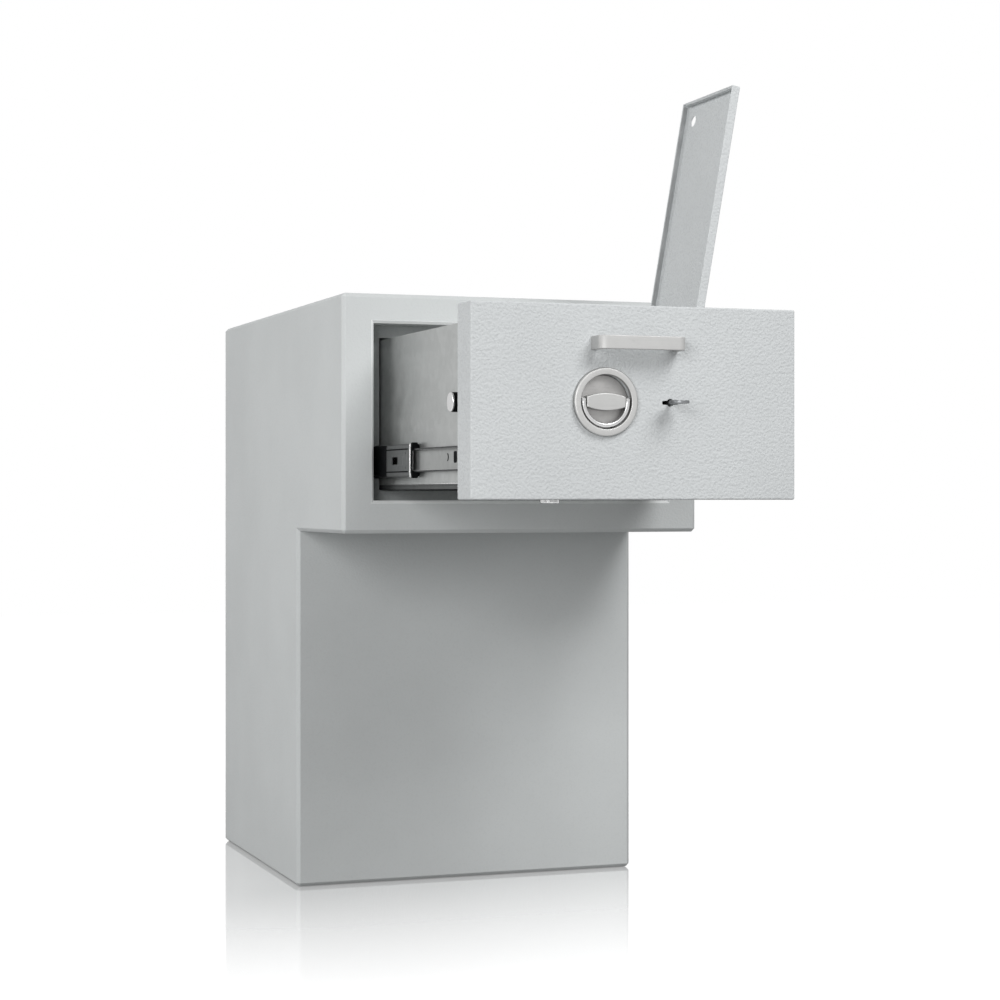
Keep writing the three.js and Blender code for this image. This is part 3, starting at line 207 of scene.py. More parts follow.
class Effects:
    """Shader node groups that several finishes share, each built once."""

    @staticmethod
    def start(name: str, **inputs: float | Place) -> tuple[Wiring, bpy.types.NodeOutputs]:
        """Start a group with its inputs.

        Args:
            name: the group's name.
            inputs: its inputs, with their standing values.

        Returns:
            The wiring of the new group and what its inputs give.
        """
        tree = bpy.data.node_groups.new(name, "ShaderNodeTree")
        for title, value in inputs.items():
            kind = "NodeSocketVector" if isinstance(value, tuple) else "NodeSocketFloat"
            tree.interface.new_socket(title, in_out="INPUT", socket_type=kind).default_value = value
        wiring = Wiring(tree)
        return wiring, tree.nodes.new("NodeGroupInput").outputs

    @staticmethod
    def ended(wiring: Wiring, **results: bpy.types.NodeSocket) -> bpy.types.NodeTree:
        """Give a group its outputs.

        Args:
            wiring: the wiring of the group.
            results: what each output gives.

        Returns:
            The finished group.
        """
        for title in results:
            wiring.tree.interface.new_socket(title, in_out="OUTPUT", socket_type="NodeSocketFloat")
        out = wiring.tree.nodes.new("NodeGroupOutput")
        for title, value in results.items():
            wiring.tree.links.new(value, out.inputs[title])
        return wiring.tree

    @classmethod
    @cache
    def peel(cls) -> bpy.types.NodeTree:
        """Wire the soft bumps of a sprayed and baked coat.

        Returns:
            A group that gives their height, a cloudy tone and a mask of the low points between them, which the coats
            darken as painted shade.
        """
        wiring, given = cls.start("coat_peel", Cells=400.0, Clouds=7.0)
        where = wiring.where()
        fine = wiring.noise(where, given["Cells"], 1.5, 0.45)
        wide = wiring.noise(where, wiring.sums("MULTIPLY", given["Cells"], 0.37), 1.0)
        clouds = wiring.noise(where, given["Clouds"], 3.0)
        bumps = wiring.window(fine, 0.3, 0.7, interpolation_type="SMOOTHSTEP")
        height = wiring.add("Mix", {0: 0.32, 2: bumps, 3: wide}, data_type="FLOAT").outputs[0]
        tone, pit_shade = wiring.window(clouds, 0.35, 0.65), wiring.window(fine, 0.44, 0.34)
        return cls.ended(wiring, Height=height, Tone=tone, Pits=pit_shade)

    @classmethod
    @cache
    def handling(cls) -> bpy.types.NodeTree:
        """Wire the smudges and hair scratches that hands and dust cloths leave.

        Returns:
            A group that gives a mask of each.
        """
        wiring, given = cls.start("handling", Patches=18.0, Scratches=60.0)
        where = wiring.where()
        smudge = wiring.window(wiring.noise(where, given["Patches"], 4.0, 0.6), 0.42, 0.68)
        drawn = wiring.add("Mapping", {"Vector": where, "Rotation": (0.5, 0.35, 0.8), "Scale": (0.05, 1.0, 1.0)})
        cells = {"Vector": drawn.outputs[0], "Scale": given["Scratches"]}
        lines = wiring.add("TexVoronoi", cells, feature="DISTANCE_TO_EDGE")
        thin = wiring.window(lines.outputs["Distance"], 0.012, 0.0)
        return cls.ended(wiring, Smudge=smudge, Scratch=wiring.sums("MULTIPLY", thin, smudge, clamp=True))

    @classmethod
    @cache
    def grain(cls) -> bpy.types.NodeTree:
        """Wire the long fine grain of rolled or brushed metal, drawn out along one direction.

        Returns:
            A group that gives its height and a mask of wider streaks.
        """
        wiring, given = cls.start("metal_grain", Draw=(1.0, 0.03, 1.0), Lines=900.0)
        drawn = wiring.vectors("MULTIPLY", wiring.where(), given["Draw"])[0]
        fine = wiring.noise(drawn, given["Lines"], 2.0)
        wide = wiring.noise(drawn, wiring.sums("MULTIPLY", given["Lines"], 0.13), 2.0)
        return cls.ended(wiring, Height=fine, Streak=wiring.window(wide, 0.35, 0.65))

    @classmethod
    @cache
    def edges(cls) -> bpy.types.NodeTree:
        """Wire the outer edges, where a coat is thin and a metal is worn; the finishes also lighten them as a painted
        highlight.

        Returns:
            A group that gives a mask of them.
        """
        wiring, given = cls.start("edge_wear_and_highlight", Width=0.0012, Break=120.0)
        soft = wiring.add("Bevel", {"Radius": given["Width"]}, samples=4).outputs[0]
        plain = wiring.add("NewGeometry").outputs["Normal"]
        bend = wiring.window(wiring.vectors("DOT_PRODUCT", soft, plain)["Value"], 0.995, 0.9)
        worn = wiring.window(wiring.noise(wiring.where(), given["Break"], 3.0), 0.3, 0.6)
        return cls.ended(wiring, Mask=wiring.sums("MULTIPLY", bend, worn, clamp=True))


def open_material(name: str) -> tuple[bpy.types.Material, Wiring]:
    """Start a material.

    Args:
        name: the material's name.

    Returns:
        The material and its wiring, which is empty.
    """
    material = bpy.data.materials.new(name)
    material.use_nodes = True
    return material, Wiring(material.node_tree)


@dataclass(frozen=True)
class Finish:
    """A finish with its name and screen colour; each kind of finish says how it is wired."""

    name: str
    colour: str

    def wire(self, wiring: Wiring, base: Colour) -> dict[str, Value]:
        """Return what feeds the inputs of the principled shader."""
        raise NotImplementedError

    @cache
    def material(self) -> bpy.types.Material:
        """Make the finish's material on its first use.

        Returns:
            The material.
        """
        material, wiring = open_material(self.name)
        shader = wiring.add("BsdfPrincipled", self.wire(wiring, linear(self.colour)))
        wiring.add("OutputMaterial", {"Surface": shader.outputs[0]})
        return material


@dataclass(frozen=True)
class PowderCoat(Finish):
    """A structured powder coat: soft orange peel with painted shade in its low points, faint clouds, and lighter edges
    that are partly thin coat and partly painted highlight.
    """

    cells: float = 420.0
    relief: float = 0.00035
    roughness: float = 0.58
    # Share of painted shade in the low points of the peel.
    pit_shade: float = 0.5

    def wire(self, wiring: Wiring, base: Colour) -> dict[str, Value]:
        """Wire the coat.

        Args:
            wiring: the material's wiring.
            base: the coat's colour.

        Returns:
            What feeds the principled shader.
        """
        peel = wiring.place(Effects.peel(), Cells=self.cells)
        clouded = wiring.blend(peel["Tone"], shade(base, 0.975), shade(base, 1.02))
        # Painted shade: a share of this mask darkens the low points of the peel.
        pit_shaded = wiring.blend(peel["Pits"], clouded, shade(base, 0.86), self.pit_shade)
        smudge = wiring.place(Effects.handling())["Smudge"]
        return {
            # Lighter edges: partly thin coat, partly painted highlight.
            "Base Color": wiring.blend(wiring.place(Effects.edges())["Mask"], pit_shaded, shade(base, 1.12), 0.7),
            "Roughness": wiring.spread(smudge, self.roughness + 0.03, self.roughness - 0.04),
            "Normal": wiring.bump(peel["Height"], 0.75, self.relief),
            "Specular IOR Level": 0.08,
        }


@dataclass(frozen=True)
class ZincSheet(Finish):
    """Zinc-plated steel sheet: rolled grain, faint flakes and dull patches."""

    flake: float = 130.0
    roughness: float = 0.36
    metallic: float = 0.8
    draw: Place = (1.0, 0.06, 1.0)

    def wire(self, wiring: Wiring, base: Colour) -> dict[str, Value]:
        """Wire the sheet.

        Args:
            wiring: the material's wiring.
            base: the sheet's colour.

        Returns:
            What feeds the principled shader.
        """
        grain = wiring.place(Effects.grain(), Draw=self.draw, Lines=620.0)
        smudge = wiring.place(Effects.handling(), Patches=26.0)["Smudge"]
        flakes = wiring.add("TexVoronoi", {"Vector": wiring.where(), "Scale": self.flake}).outputs["Color"]
        flake = wiring.add("SeparateColor", {"Color": flakes}).outputs[0]
        toned = wiring.blend(flake, shade(base, 0.93), shade(base, 1.05))
        streaked = wiring.blend(grain["Streak"], toned, shade(base, 0.85), 0.3)
        dulled = wiring.blend(smudge, streaked, shade(base, 0.8), 0.25)
        return {
            # Lighter edges: partly worn plating, partly painted highlight.
            "Base Color": wiring.blend(wiring.place(Effects.edges())["Mask"], dulled, shade(base, 1.2), 0.5),
            "Roughness": wiring.spread(smudge, self.roughness, self.roughness + 0.14),
            "Normal": wiring.bump(grain["Height"], 0.35, 0.00012),
            "Metallic": self.metallic,
        }


@dataclass(frozen=True)
class PlainMetal(Finish):
    """Machined and plated metal: fine grain, smudges, hair scratches, and worn edges lightened far more as a painted
    highlight.
    """

    roughness: float
    draw: Place = (0.05, 1.0, 1.0)
    lines: float = 1600.0
    relief: float = 0.00005
    metallic: float = 1.0
    patina: float = 0.12

    def wire(self, wiring: Wiring, base: Colour) -> dict[str, Value]:
        """Wire the metal.

        Args:
            wiring: the material's wiring.
            base: the metal's colour.

        Returns:
            What feeds the principled shader.
        """
        grain = wiring.place(Effects.grain(), Draw=self.draw, Lines=self.lines)
        hands = wiring.place(Effects.handling(), Patches=55.0, Scratches=160.0)
        wear_and_highlight = wiring.place(Effects.edges(), Width=0.0008)["Mask"]
        toned = wiring.blend(hands["Smudge"], base, shade(base, 0.8), self.patina * 2)
        lined = wiring.blend(grain["Streak"], toned, shade(base, 0.72), self.patina)
        # Much lighter edges: worn metal and a painted highlight.
        edged = wiring.blend(wear_and_highlight, lined, shade(base, 1.5), 0.9)
        return {
            "Base Color": wiring.blend(hands["Scratch"], edged, shade(base, 0.6), 0.5),
            "Roughness": wiring.spread(hands["Smudge"], self.roughness, self.roughness + 0.1),
            "Normal": wiring.bump(grain["Height"], 0.4, self.relief),
            "Metallic": self.metallic,
        }


@dataclass(frozen=True)
class MouldedPlastic(Finish):
    """Moulded plastic with a fine spark-eroded grain and greyed, scuffed places."""

    roughness: float = 0.5

    def wire(self, wiring: Wiring, base: Colour) -> dict[str, Value]:
        """Wire the plastic.

        Args:
            wiring: the material's wiring.
            base: the plastic's colour.

        Returns:
            What feeds the principled shader.
        """
        smudge = wiring.place(Effects.handling())["Smudge"]
        return {
            "Base Color": wiring.blend(smudge, base, shade(base, 1.7), 0.5),
            "Roughness": wiring.spread(smudge, self.roughness, self.roughness + 0.15),
            "Normal": wiring.bump(wiring.place(Effects.peel(), Cells=1500.0)["Height"], 0.5, 0.0001),
            "Specular IOR Level": 0.02,
        }


SLOT_FINISH: dict[Slot, Finish] = {
    Slot.BODY: PowderCoat("body_powder_coat", "d2d5d5", relief=0.00014, pit_shade=0.15),
    Slot.FRONT: PowderCoat("front_powder_coat", "d2d5d6", cells=360.0, relief=0.00075),
    Slot.ZINC: ZincSheet("zinc_plated_sheet", "adafae"),
    Slot.SATIN: PlainMetal("satin_nickel", "aeaead", 0.46),
    Slot.BRIGHT: PlainMetal("bright_nickel", "c6c6c6", 0.2, patina=0.06),
    Slot.DARK: PlainMetal("oiled_steel", "5f6264", 0.45, metallic=0.85, patina=0.35),
    Slot.PLASTIC: MouldedPlastic("black_moulding", "0f1011"),
}
RECESS_FINISH = PlainMetal("blasted_recess", "a1a09f", 0.5, draw=(1.0, 1.0, 1.0), lines=2400.0, relief=0.0001)
# Zinc darkened as painted shade for the middle rails and their stop tabs, deep in the slides.
PAINTED_SHADE_ZINC = ZincSheet("shade_painted_slide_zinc", "606262", roughness=0.4)
# Zinc darkened as painted shade for the drawer rails.
DRAWER_SHADE_ZINC = ZincSheet("shade_painted_drawer_zinc", "9fa1a0", roughness=0.55, metallic=0.15)
# Dark zinc: painted shade for the angles under the box, seen in the gap above the sill.
FLANGE_SHADE_ZINC = ZincSheet("shade_painted_flange_zinc", "464848", roughness=0.55, metallic=0.3)
# Body coat darkened as painted shade for the strike frame inside the opening.
STRIKE_SHADE_COAT = PowderCoat("strike_shade_painted_coat", "a4a7a7", relief=0.00016)
# A very light coat: painted highlight on the opening's chamfer.
CHAMFER_HIGHLIGHT_COAT = PowderCoat("chamfer_highlight_coat", "f2f4f4", relief=0.00005, pit_shade=0.0)
BRUSHED_RING = PlainMetal("fine_turned_nickel", "b1b1b0", 0.45, draw=(1.0, 1.0, 1.0), lines=2600.0, relief=0.00008)
KEY_FINISH = PlainMetal("worn_key_nickel", "7c7e80", 0.38, patina=0.3)
PULL_FINISH = PlainMetal("satin_pull_handle", "b9b9b8", 0.5, metallic=0.45)
# Near-black steel: painted shade along the lips of the drawer rails.
TRACK_SHADE_FINISH = PlainMetal("shade_painted_track", "2e3031", 0.5, metallic=0.6, patina=0.3)
STEEL_BALLS = PlainMetal("bearing_balls", "c9cacb", 0.1, patina=0.05)
# Grey plastic: painted shade on the inside of the lid's far rim.
RIM_SHADE_FINISH = MouldedPlastic("rim_shade_painted_strip", "a0a2a3", 0.75)


def verts_in(result: dict[str, list]) -> list[bmesh.types.BMVert]:
    """Return the vertices among what a mesh operation made."""
    return [item for item in result["geom"] if isinstance(item, bmesh.types.BMVert)]


class Form:
    """A mesh in the making, in millimetres."""

    def __init__(self, bm: bmesh.types.BMesh | None = None) -> None:
        """Start empty, or from a mesh already made."""
        self.bm = bm or bmesh.new()

    @classmethod
    def of_nodes(cls, *nodes: str) -> "Form":
        """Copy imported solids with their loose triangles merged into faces.

        Args:
            nodes: their names.

        Returns:
            The copies as one form.
        """
        form = cls()
        for node in nodes:
            form.bm.from_mesh(frame["nodes"][node].data)
        form.scaled(METRE)
        bmesh.ops.remove_doubles(form.bm, verts=form.bm.verts, dist=0.002)
        bmesh.ops.dissolve_limit(
            form.bm, angle_limit=math.radians(0.6), verts=form.bm.verts, edges=form.bm.edges,
            use_dissolve_boundaries=False, delimit=set(),
        )
        return form

    def take(self, part: bmesh.types.BMesh, matrix: Matrix) -> "Form":
        """Add another mesh to this one, with its doubles merged and its faces turned outwards.

        Args:
            part: the mesh, which is used up.
            matrix: where it goes.

        Returns:
            This form.
        """
        bmesh.ops.transform(part, matrix=matrix, verts=part.verts)
        bmesh.ops.remove_doubles(part, verts=part.verts, dist=0.0005)
        bmesh.ops.recalc_face_normals(part, faces=part.faces)
        mesh = bpy.data.meshes.new("part")
        part.to_mesh(mesh)
        part.free()
        self.bm.from_mesh(mesh)
        bpy.data.meshes.remove(mesh)
        return self

    def box(self, x: Span, y: Span, z: Span) -> "Form":
        """Add a box.

        Args:
            x: two values that it lies between, in any order.
            y: the same to the back.
            z: the same upwards.

        Returns:
            This form.
        """
        part = bmesh.new()
        bmesh.ops.create_cube(part, size=1.0)
        spans = [sorted(span) for span in (x, y, z)]
        middle = Vector([(low + high) / 2 for low, high in spans])
        size = Vector([high - low for low, high in spans])
        return self.take(part, Matrix.LocRotScale(middle, None, size))

    def rod(self, radius: float, span: Span, axis: Axis, place: Place, sides: int = 48) -> "Form":
        """Add a round bar.

        Args:
            radius: its radius.
            span: its two ends along the axis, from the place, in any order.
            axis: its direction.
            place: a point that it passes through.
            sides: its facets.

        Returns:
            This form.
        """
        low, high = sorted(span)
        part = bmesh.new()
        bmesh.ops.create_cone(
            part, cap_ends=True, cap_tris=False, segments=sides, radius1=radius, radius2=radius, depth=high - low,
        )
        lift = Matrix.Translation((0, 0, (low + high) / 2))
        return self.take(part, Matrix.Translation(place) @ axis.value @ lift)

    def ball(self, radius: float, place: Place, sides: int) -> "Form":
        """Add a ball.

        Args:
            radius: its radius.
            place: its middle.
            sides: its facets round the middle.

        Returns:
            This form.
        """
        part = bmesh.new()
        bmesh.ops.create_uvsphere(part, u_segments=sides, v_segments=sides // 2, radius=radius)
        return self.take(part, Matrix.Translation(place))

    def turned(self, profile: Sequence[Point], axis: Axis, place: Place, steps: int) -> "Form":
        """Add a turned shape.

        Args:
            profile: radius and height of each corner; a ring ends where it starts.
            axis: the axis that it is turned on.
            place: the point that heights are measured from.
            steps: facets round it.

        Returns:
            This form.
        """
        part = bmesh.new()
        closed = profile[0] == profile[-1]
        corners = profile[:-1] if closed else profile
        verts = [part.verts.new((radius, 0.0, height)) for radius, height in corners]
        pairs = list(zip(verts, verts[1:])) + ([(verts[-1], verts[0])] if closed else [])
        edges = [part.edges.new(pair) for pair in pairs]
        bmesh.ops.spin(
            part, geom=[*verts, *edges], cent=(0, 0, 0), axis=(0, 0, 1), angle=math.tau,
            steps=steps, use_merge=True, use_duplicate=False,
        )
        return self.take(part, Matrix.Translation(place) @ axis.value)

    def prism(self, points: Sequence[Point], span: Span, axis: Axis) -> "Form":
        """Add a flat outline pushed along an axis.

        Args:
            points: the outline, as (y, z) on x, (x, z) on y and (x, y) on z.
            span: where it starts and ends along the axis.
            axis: the direction of the push.

        Returns:
            This form.
        """
        part = bmesh.new()
        face = part.faces.new([part.verts.new((u, v, 0.0)) for u, v in points])
        pushed = bmesh.ops.extrude_face_region(part, geom=[face])
        bmesh.ops.translate(part, vec=(0, 0, span[1] - span[0]), verts=verts_in(pushed))
        bmesh.ops.translate(part, vec=(0, 0, span[0]), verts=part.verts)
        swaps = {
            Axis.X: Matrix(((0, 0, 1, 0), (1, 0, 0, 0), (0, 1, 0, 0), (0, 0, 0, 1))),
            Axis.Y: Matrix(((1, 0, 0, 0), (0, 0, 1, 0), (0, 1, 0, 0), (0, 0, 0, 1))),
            Axis.Z: Matrix.Identity(4),
        }
        return self.take(part, swaps[axis])

    def moved(self, matrix: Matrix) -> "Form":
        """Move or turn the whole form."""
        bmesh.ops.transform(self.bm, matrix=matrix, verts=self.bm.verts)
        return self

    def scaled(self, factor: float) -> "Form":
        """Make the whole form larger or smaller."""
        bmesh.ops.scale(self.bm, vec=(factor,) * 3, verts=self.bm.verts)
        return self

    def bevel(self, width: float, segments: int, test: EdgeTest | None = None, degrees: float = 30.0) -> "Form":
        """Round or chamfer edges.

        Args:
            width: how far each edge is eased.
            segments: steps of the rounding, with one for a chamfer.
            test: a test on an edge's middle and direction, if not every edge is eased.
            degrees: the least turn of an edge that is eased.

        Returns:
            This form.
        """
        limit = math.radians(degrees)
        picked = []
        for edge in self.bm.edges:
            if len(edge.link_faces) != 2 or edge.calc_face_angle(0.0) < limit:
                continue
            first, second = (vert.co for vert in edge.verts)
            if test is None or test((first + second) / 2, (second - first).normalized()):
                picked.append(edge)
        if picked:
            bmesh.ops.bevel(
                self.bm, geom=picked, offset=width, offset_type="OFFSET", segments=segments, profile=0.5,
                affect="EDGES", material=-1, clamp_overlap=False,
            )
        return self

    def put(self, name: str) -> bpy.types.Object:
        """Put the form into the scene and let go of its mesh.

        Args:
            name: the object's name.

        Returns:
            The object.
        """
        mesh = bpy.data.meshes.new(name)
        self.bm.to_mesh(mesh)
        self.bm.free()
        made = bpy.data.objects.new(name, mesh)
        bpy.context.scene.collection.objects.link(made)
        return made

    def modified(self, kind: str, others: Iterable["Form"] = (), **settings: object) -> "Form":
        """Put the form through a modifier.

        Args:
            kind: the modifier's type.
            others: the forms that a boolean takes, one after another.
            settings: the modifier's properties.

        Returns:
            A new form.
        """
        target = self.put("workpiece")
        tools = [other.put("tool") for other in others]
        for tool in tools or [None]:
            modifier = target.modifiers.new("step", kind)
            for key, value in settings.items():
                setattr(modifier, key, value)
            if tool is not None:
                modifier.object = tool
        bpy.context.view_layer.update()
        result = bmesh.new()
        result.from_object(target, bpy.context.evaluated_depsgraph_get())
        for used in [target, *tools]:
            mesh = used.data
            bpy.data.objects.remove(used)
            bpy.data.meshes.remove(mesh)
        return Form(result)

    def with_solids(self, how: Cut, *others: "Form") -> "Form":
        """Return the form with other solids taken away from it, joined to it or shared with it."""
        return self.modified("BOOLEAN", others, operation=how.value, solver="EXACT")

    def less(self, *others: "Form") -> "Form":
        """Return the form with other solids taken away."""
        return self.with_solids(Cut.AWAY, *others)

    def plus(self, *others: "Form") -> "Form":
        """Return the form joined to other solids."""
        return self.with_solids(Cut.JOIN, *others)


@dataclass
class Extent:
    """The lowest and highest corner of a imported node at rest, in millimetres."""

    low: Vector
    high: Vector

    @classmethod
    def of(cls, node: str) -> "Extent":
        """Return a node's extent."""
        low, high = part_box(node)
        return cls(low * METRE, high * METRE)

    @property
    def middle(self) -> Vector:
        """Return the middle of the box."""
        return (self.low + self.high) / 2

    @property
    def spans(self) -> tuple[Span, Span, Span]:
        """Return the node's ends on each axis."""
        return tuple(zip(self.low, self.high))


def add_piece(
    form: Form, name: str, body: str, slot: Slot, replaces: Sequence[str] = (), crease: float = 32.0,
    finish: Finish | None = None,
) -> None:
    """Finish a form as a piece of the model.

    Args:
        form: the shape, in millimetres.
        name: the piece's name.
        body: the body that carries it.
        slot: the record's finish for it.
        replaces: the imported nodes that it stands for.
        crease: the angle in degrees above which an edge stays sharp.
        finish: a finish of its own, if the slot's is too general.
    """
    piece = form.scaled(1 / METRE).put(name)
    mesh = piece.data
    mesh.materials.clear()
    mesh.materials.append((finish or SLOT_FINISH[slot]).material())
    mesh.polygons.foreach_set("material_index", [0] * len(mesh.polygons))
    mesh.polygons.foreach_set("use_smooth", [True] * len(mesh.polygons))
    mesh.set_sharp_from_angle(angle=math.radians(crease))
    piece.modifiers.new("flat_faces", "WEIGHTED_NORMAL").keep_sharp = True
    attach(piece, body)
    if replaces:
        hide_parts(*replaces)
    LOG.info("%s on %s: %d faces", name, body, len(mesh.polygons))


BODY_OF = {node: body for body, nodes in frame["record"]["behaviour"]["bodies"].items() for node in nodes}
SLOT_OF = {entry["node"]: Slot(entry["material_slot"]) for entry in frame["record"]["subparts"]}


def soften(*nodes: str, width: float = 0.3, segments: int = 2) -> None:
    """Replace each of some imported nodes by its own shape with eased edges.

    Args:
        nodes: the nodes.
        width: how far each edge is eased.
        segments: steps of the rounding.
    """
    for node in nodes:
        form = Form.of_nodes(node).bevel(width, segments, degrees=40.0)
        add_piece(form, node + "_finished", BODY_OF[node], SLOT_OF[node], [node])


@dataclass(frozen=True)
class Heads:
    """Rivet or screw heads: their direction, radius and height, and a way of -1 to face against the axis."""

    axis: Axis
    radius: float
    rise: float
    way: int = 1
    arc_steps: int = 5

    def rivets(self, places: Iterable[Place]) -> Form:
        """Make domed rivet heads.

        Args:
            places: where each head's seat is.

        Returns:
            The heads as one form.
        """
        turns = [i / self.arc_steps * math.pi / 2 for i in range(self.arc_steps)]
        arc = [(math.cos(turn) * self.radius, self.way * math.sin(turn) * self.rise) for turn in turns]
        form = Form()
        for place in places:
            form.turned([(0.0, 0.0), *arc, (0.0, self.way * self.rise)], self.axis, place, 20)
        return form

    def screws(self, places: Iterable[Place]) -> Form:
        """Make low cylinder-head screws with hexagon sockets.

        Args:
            places: where each head's seat is.

        Returns:
            The heads as one form.
        """
        radius, top = self.radius, self.way * self.rise
        profile = [(0.0, 0.0), (radius, 0.0), (radius, top * 0.75), (radius * 0.88, top), (0.0, top)]
        form, sockets = Form(), Form()
        for place in places:
            form.turned(profile, self.axis, place, 28)
            sockets.rod(radius * 0.48, (top * 0.4, top * 1.4), self.axis, place, 6)
        return form.less(sockets)


@dataclass
class Carcass:
    """The welded body with its strike frame, chamber floor and baffle."""

    half_width: float = 218.0
    back: float = 194.0
    lower_front: float = -194.0
    front: float = -392.0
    top: float = 700.0
    underside: float = 429.0
    wall: float = 6.0
    front_wall: float = 8.0
    edge: float = 4.0
    edge_ease: float = 0.7
    reveal_half: float = 180.95
    reveal_low: float = 465.9
    reveal_high: float = 667.1
    collar: float = 4.0
    collar_back: float = -351.7
    sill: float = 477.6
    sill_chamfer: float = 3.4
    chamfer: float = 3.0
    flare_past: float = 6.0
    # Thickness of the light strip of painted highlight on the opening's chamfer, and the margin of its slab.
    bead: float = 0.35
    highlight_margin: float = 9.0
    rear_half: float = 165.0
    rear_low: float = 45.0
    rear_high: float = 405.0
    anchor_x: float = 150.0
    anchor_y: float = 126.0
    anchor_radius: float = 7.0
    frame_weld_x: float = 184.95
    frame_welds: tuple[float, ...] = (500.0, 575.0, 640.0)
    deck_weld_x: float = 211.6
    deck_weld_level: float = 476.0
    deck_welds: tuple[float, ...] = (-300.0, -255.0, -205.0)

    def block(self, wall: float, front_wall: float) -> Form:
        """Return the L-shaped block of the body, smaller by its walls.

        Args:
            wall: how much smaller it is on every side but one.
            front_wall: how much smaller it is at the front of the housing.

        Returns:
            The block.
        """
        low, high = self.underside + wall, self.top - wall
        lower_front, front, back = self.lower_front + wall, self.front + front_wall, self.back - wall
        outline = [(lower_front, wall), (lower_front, low), (front, low), (front, high), (back, high), (back, wall)]
        return Form().prism(outline, around(0.0, self.half_width - wall), Axis.X)

    def outer(self) -> Form:
        """Build the outer block with the chamfers ground on its edges.

        Returns:
            The block.
        """
        def outside(middle: Vector, way: Vector) -> bool:
            """Tell the outer edges from the inner corner under the housing."""
            inner = abs(middle.y - self.lower_front) < 1 and abs(middle.z - self.underside) < 1
            return not (inner and abs(way.x) > STRAIGHT)

        return self.block(0.0, 0.0).bevel(self.edge, 1, outside).bevel(self.edge_ease, 2, outside)

    def reveal(self) -> Form:
        """Build the opening for the drawer front, flared at the face of the housing.

        Returns:
            The opening as a solid.
        """
        form = Form().box(
            around(0.0, self.reveal_half), (self.front + self.chamfer, self.collar_back + 5),
            (self.reveal_low, self.reveal_high),
        )
        face = min(form.bm.faces, key=lambda f: f.calc_center_median().y)
        verts = verts_in(bmesh.ops.extrude_face_region(form.bm, geom=[face]))
        flare = self.chamfer + self.flare_past
        bmesh.ops.translate(form.bm, vec=(0, -flare, 0), verts=verts)
        middle = Vector((0, 0, (self.reveal_low + self.reveal_high) / 2))
        height = (self.reveal_high - self.reveal_low) / 2
        bmesh.ops.scale(
            form.bm, vec=((self.reveal_half + flare) / self.reveal_half, 1, (height + flare) / height),
            space=Matrix.Translation(-middle), verts=verts,
        )
        bmesh.ops.delete(form.bm, geom=[face], context="FACES_ONLY")
        bmesh.ops.recalc_face_normals(form.bm, faces=form.bm.faces)
        return form

    def anchors(self, z: float) -> list[Place]:
        """Return the places of the four anchor holes at a height."""
        return [(side * self.anchor_x, end * self.anchor_y, z) for side in SIDES for end in SIDES]

    def build(self) -> None:
        """Build the body shell and what is welded into it."""
        collar = Form().box(
            around(0.0, self.reveal_half + self.collar), (self.front + self.front_wall - 3, self.collar_back),
            (self.reveal_low - self.collar, self.reveal_high + self.collar),
        )
        rear = Form().box(
            around(0.0, self.rear_half), (self.back - self.wall - 8, self.back + 8), (self.rear_low, self.rear_high),
        )
        holes = Form()
        for place in self.anchors(0):
            holes.rod(self.anchor_radius, (-5, 15), Axis.Z, place)
        inner = self.block(self.wall, self.front_wall)
        shell = self.outer().less(inner).plus(collar).less(self.reveal(), rear, holes)
        add_piece(shell, "welded_body", "carcass", Slot.BODY, [
            "side_plate_left", "side_plate_right", "top_plate", "housing_front", "housing_underside",
            "lower_front_plate", "base_plate", "back_plate",
        ])
        self.opening_chamfer_highlight()
        self.strike_frame()
        self.weld_beads()
        self.anchor_covers()
        soften("chamber_deck", "vault_baffle", "slide_bracket_left", "slide_bracket_right", width=0.5)

    def opening_chamfer_highlight(self) -> None:
        """Build a very light strip over the chamfer round the opening: a painted highlight of its edge."""
        smaller = replace(
            self, reveal_half=self.reveal_half - self.bead, reveal_low=self.reveal_low + self.bead,
            reveal_high=self.reveal_high - self.bead,
        )
        slab = Form().box(
            around(0.0, self.half_width - self.highlight_margin), (self.front + 0.05, self.front + self.chamfer),
            (self.underside + self.highlight_margin, self.top - self.highlight_margin),
        )
        ring = slab.with_solids(Cut.SHARE, self.reveal()).less(smaller.reveal())
        add_piece(ring, "opening_chamfer_highlight", "carcass", Slot.BODY, finish=CHAMFER_HIGHLIGHT_COAT)

    def strike_frame(self) -> None:
        """Build the frame behind the opening, with the chamfered sill that the drawer runs over."""
        front = Extent.of("strike_frame").low.y

        def on_sill(middle: Vector, way: Vector) -> bool:
            """Tell the front edge of the sill."""
            return abs(middle.z - self.sill) < 0.8 and abs(middle.y - front) < 0.3 and abs(way.x) > STRAIGHT

        form = Form.of_nodes("strike_frame").bevel(self.sill_chamfer, 1, on_sill).bevel(0.5, 2, degrees=50)
        # Its darker coat is painted shade inside the opening.
        add_piece(form, "strike_frame_finished", "carcass", Slot.BODY, ["strike_frame"], finish=STRIKE_SHADE_COAT)

    def weld_beads(self) -> None:
        """Build the short fillet welds that hold the strike frame and the deck inside the body."""
        form = Form()
        for side in SIDES:
            for z in self.frame_welds:
                form.rod(2.2, (-14, 14), Axis.Z, (side * self.frame_weld_x, self.collar_back + 6.6, z), 12)
            for y in self.deck_welds:
                form.rod(1.8, (-12, 12), Axis.Y, (side * self.deck_weld_x, y, self.deck_weld_level), 12)
        add_piece(form.bevel(1.0, 2, degrees=60), "inner_weld_beads", "carcass", Slot.DARK)

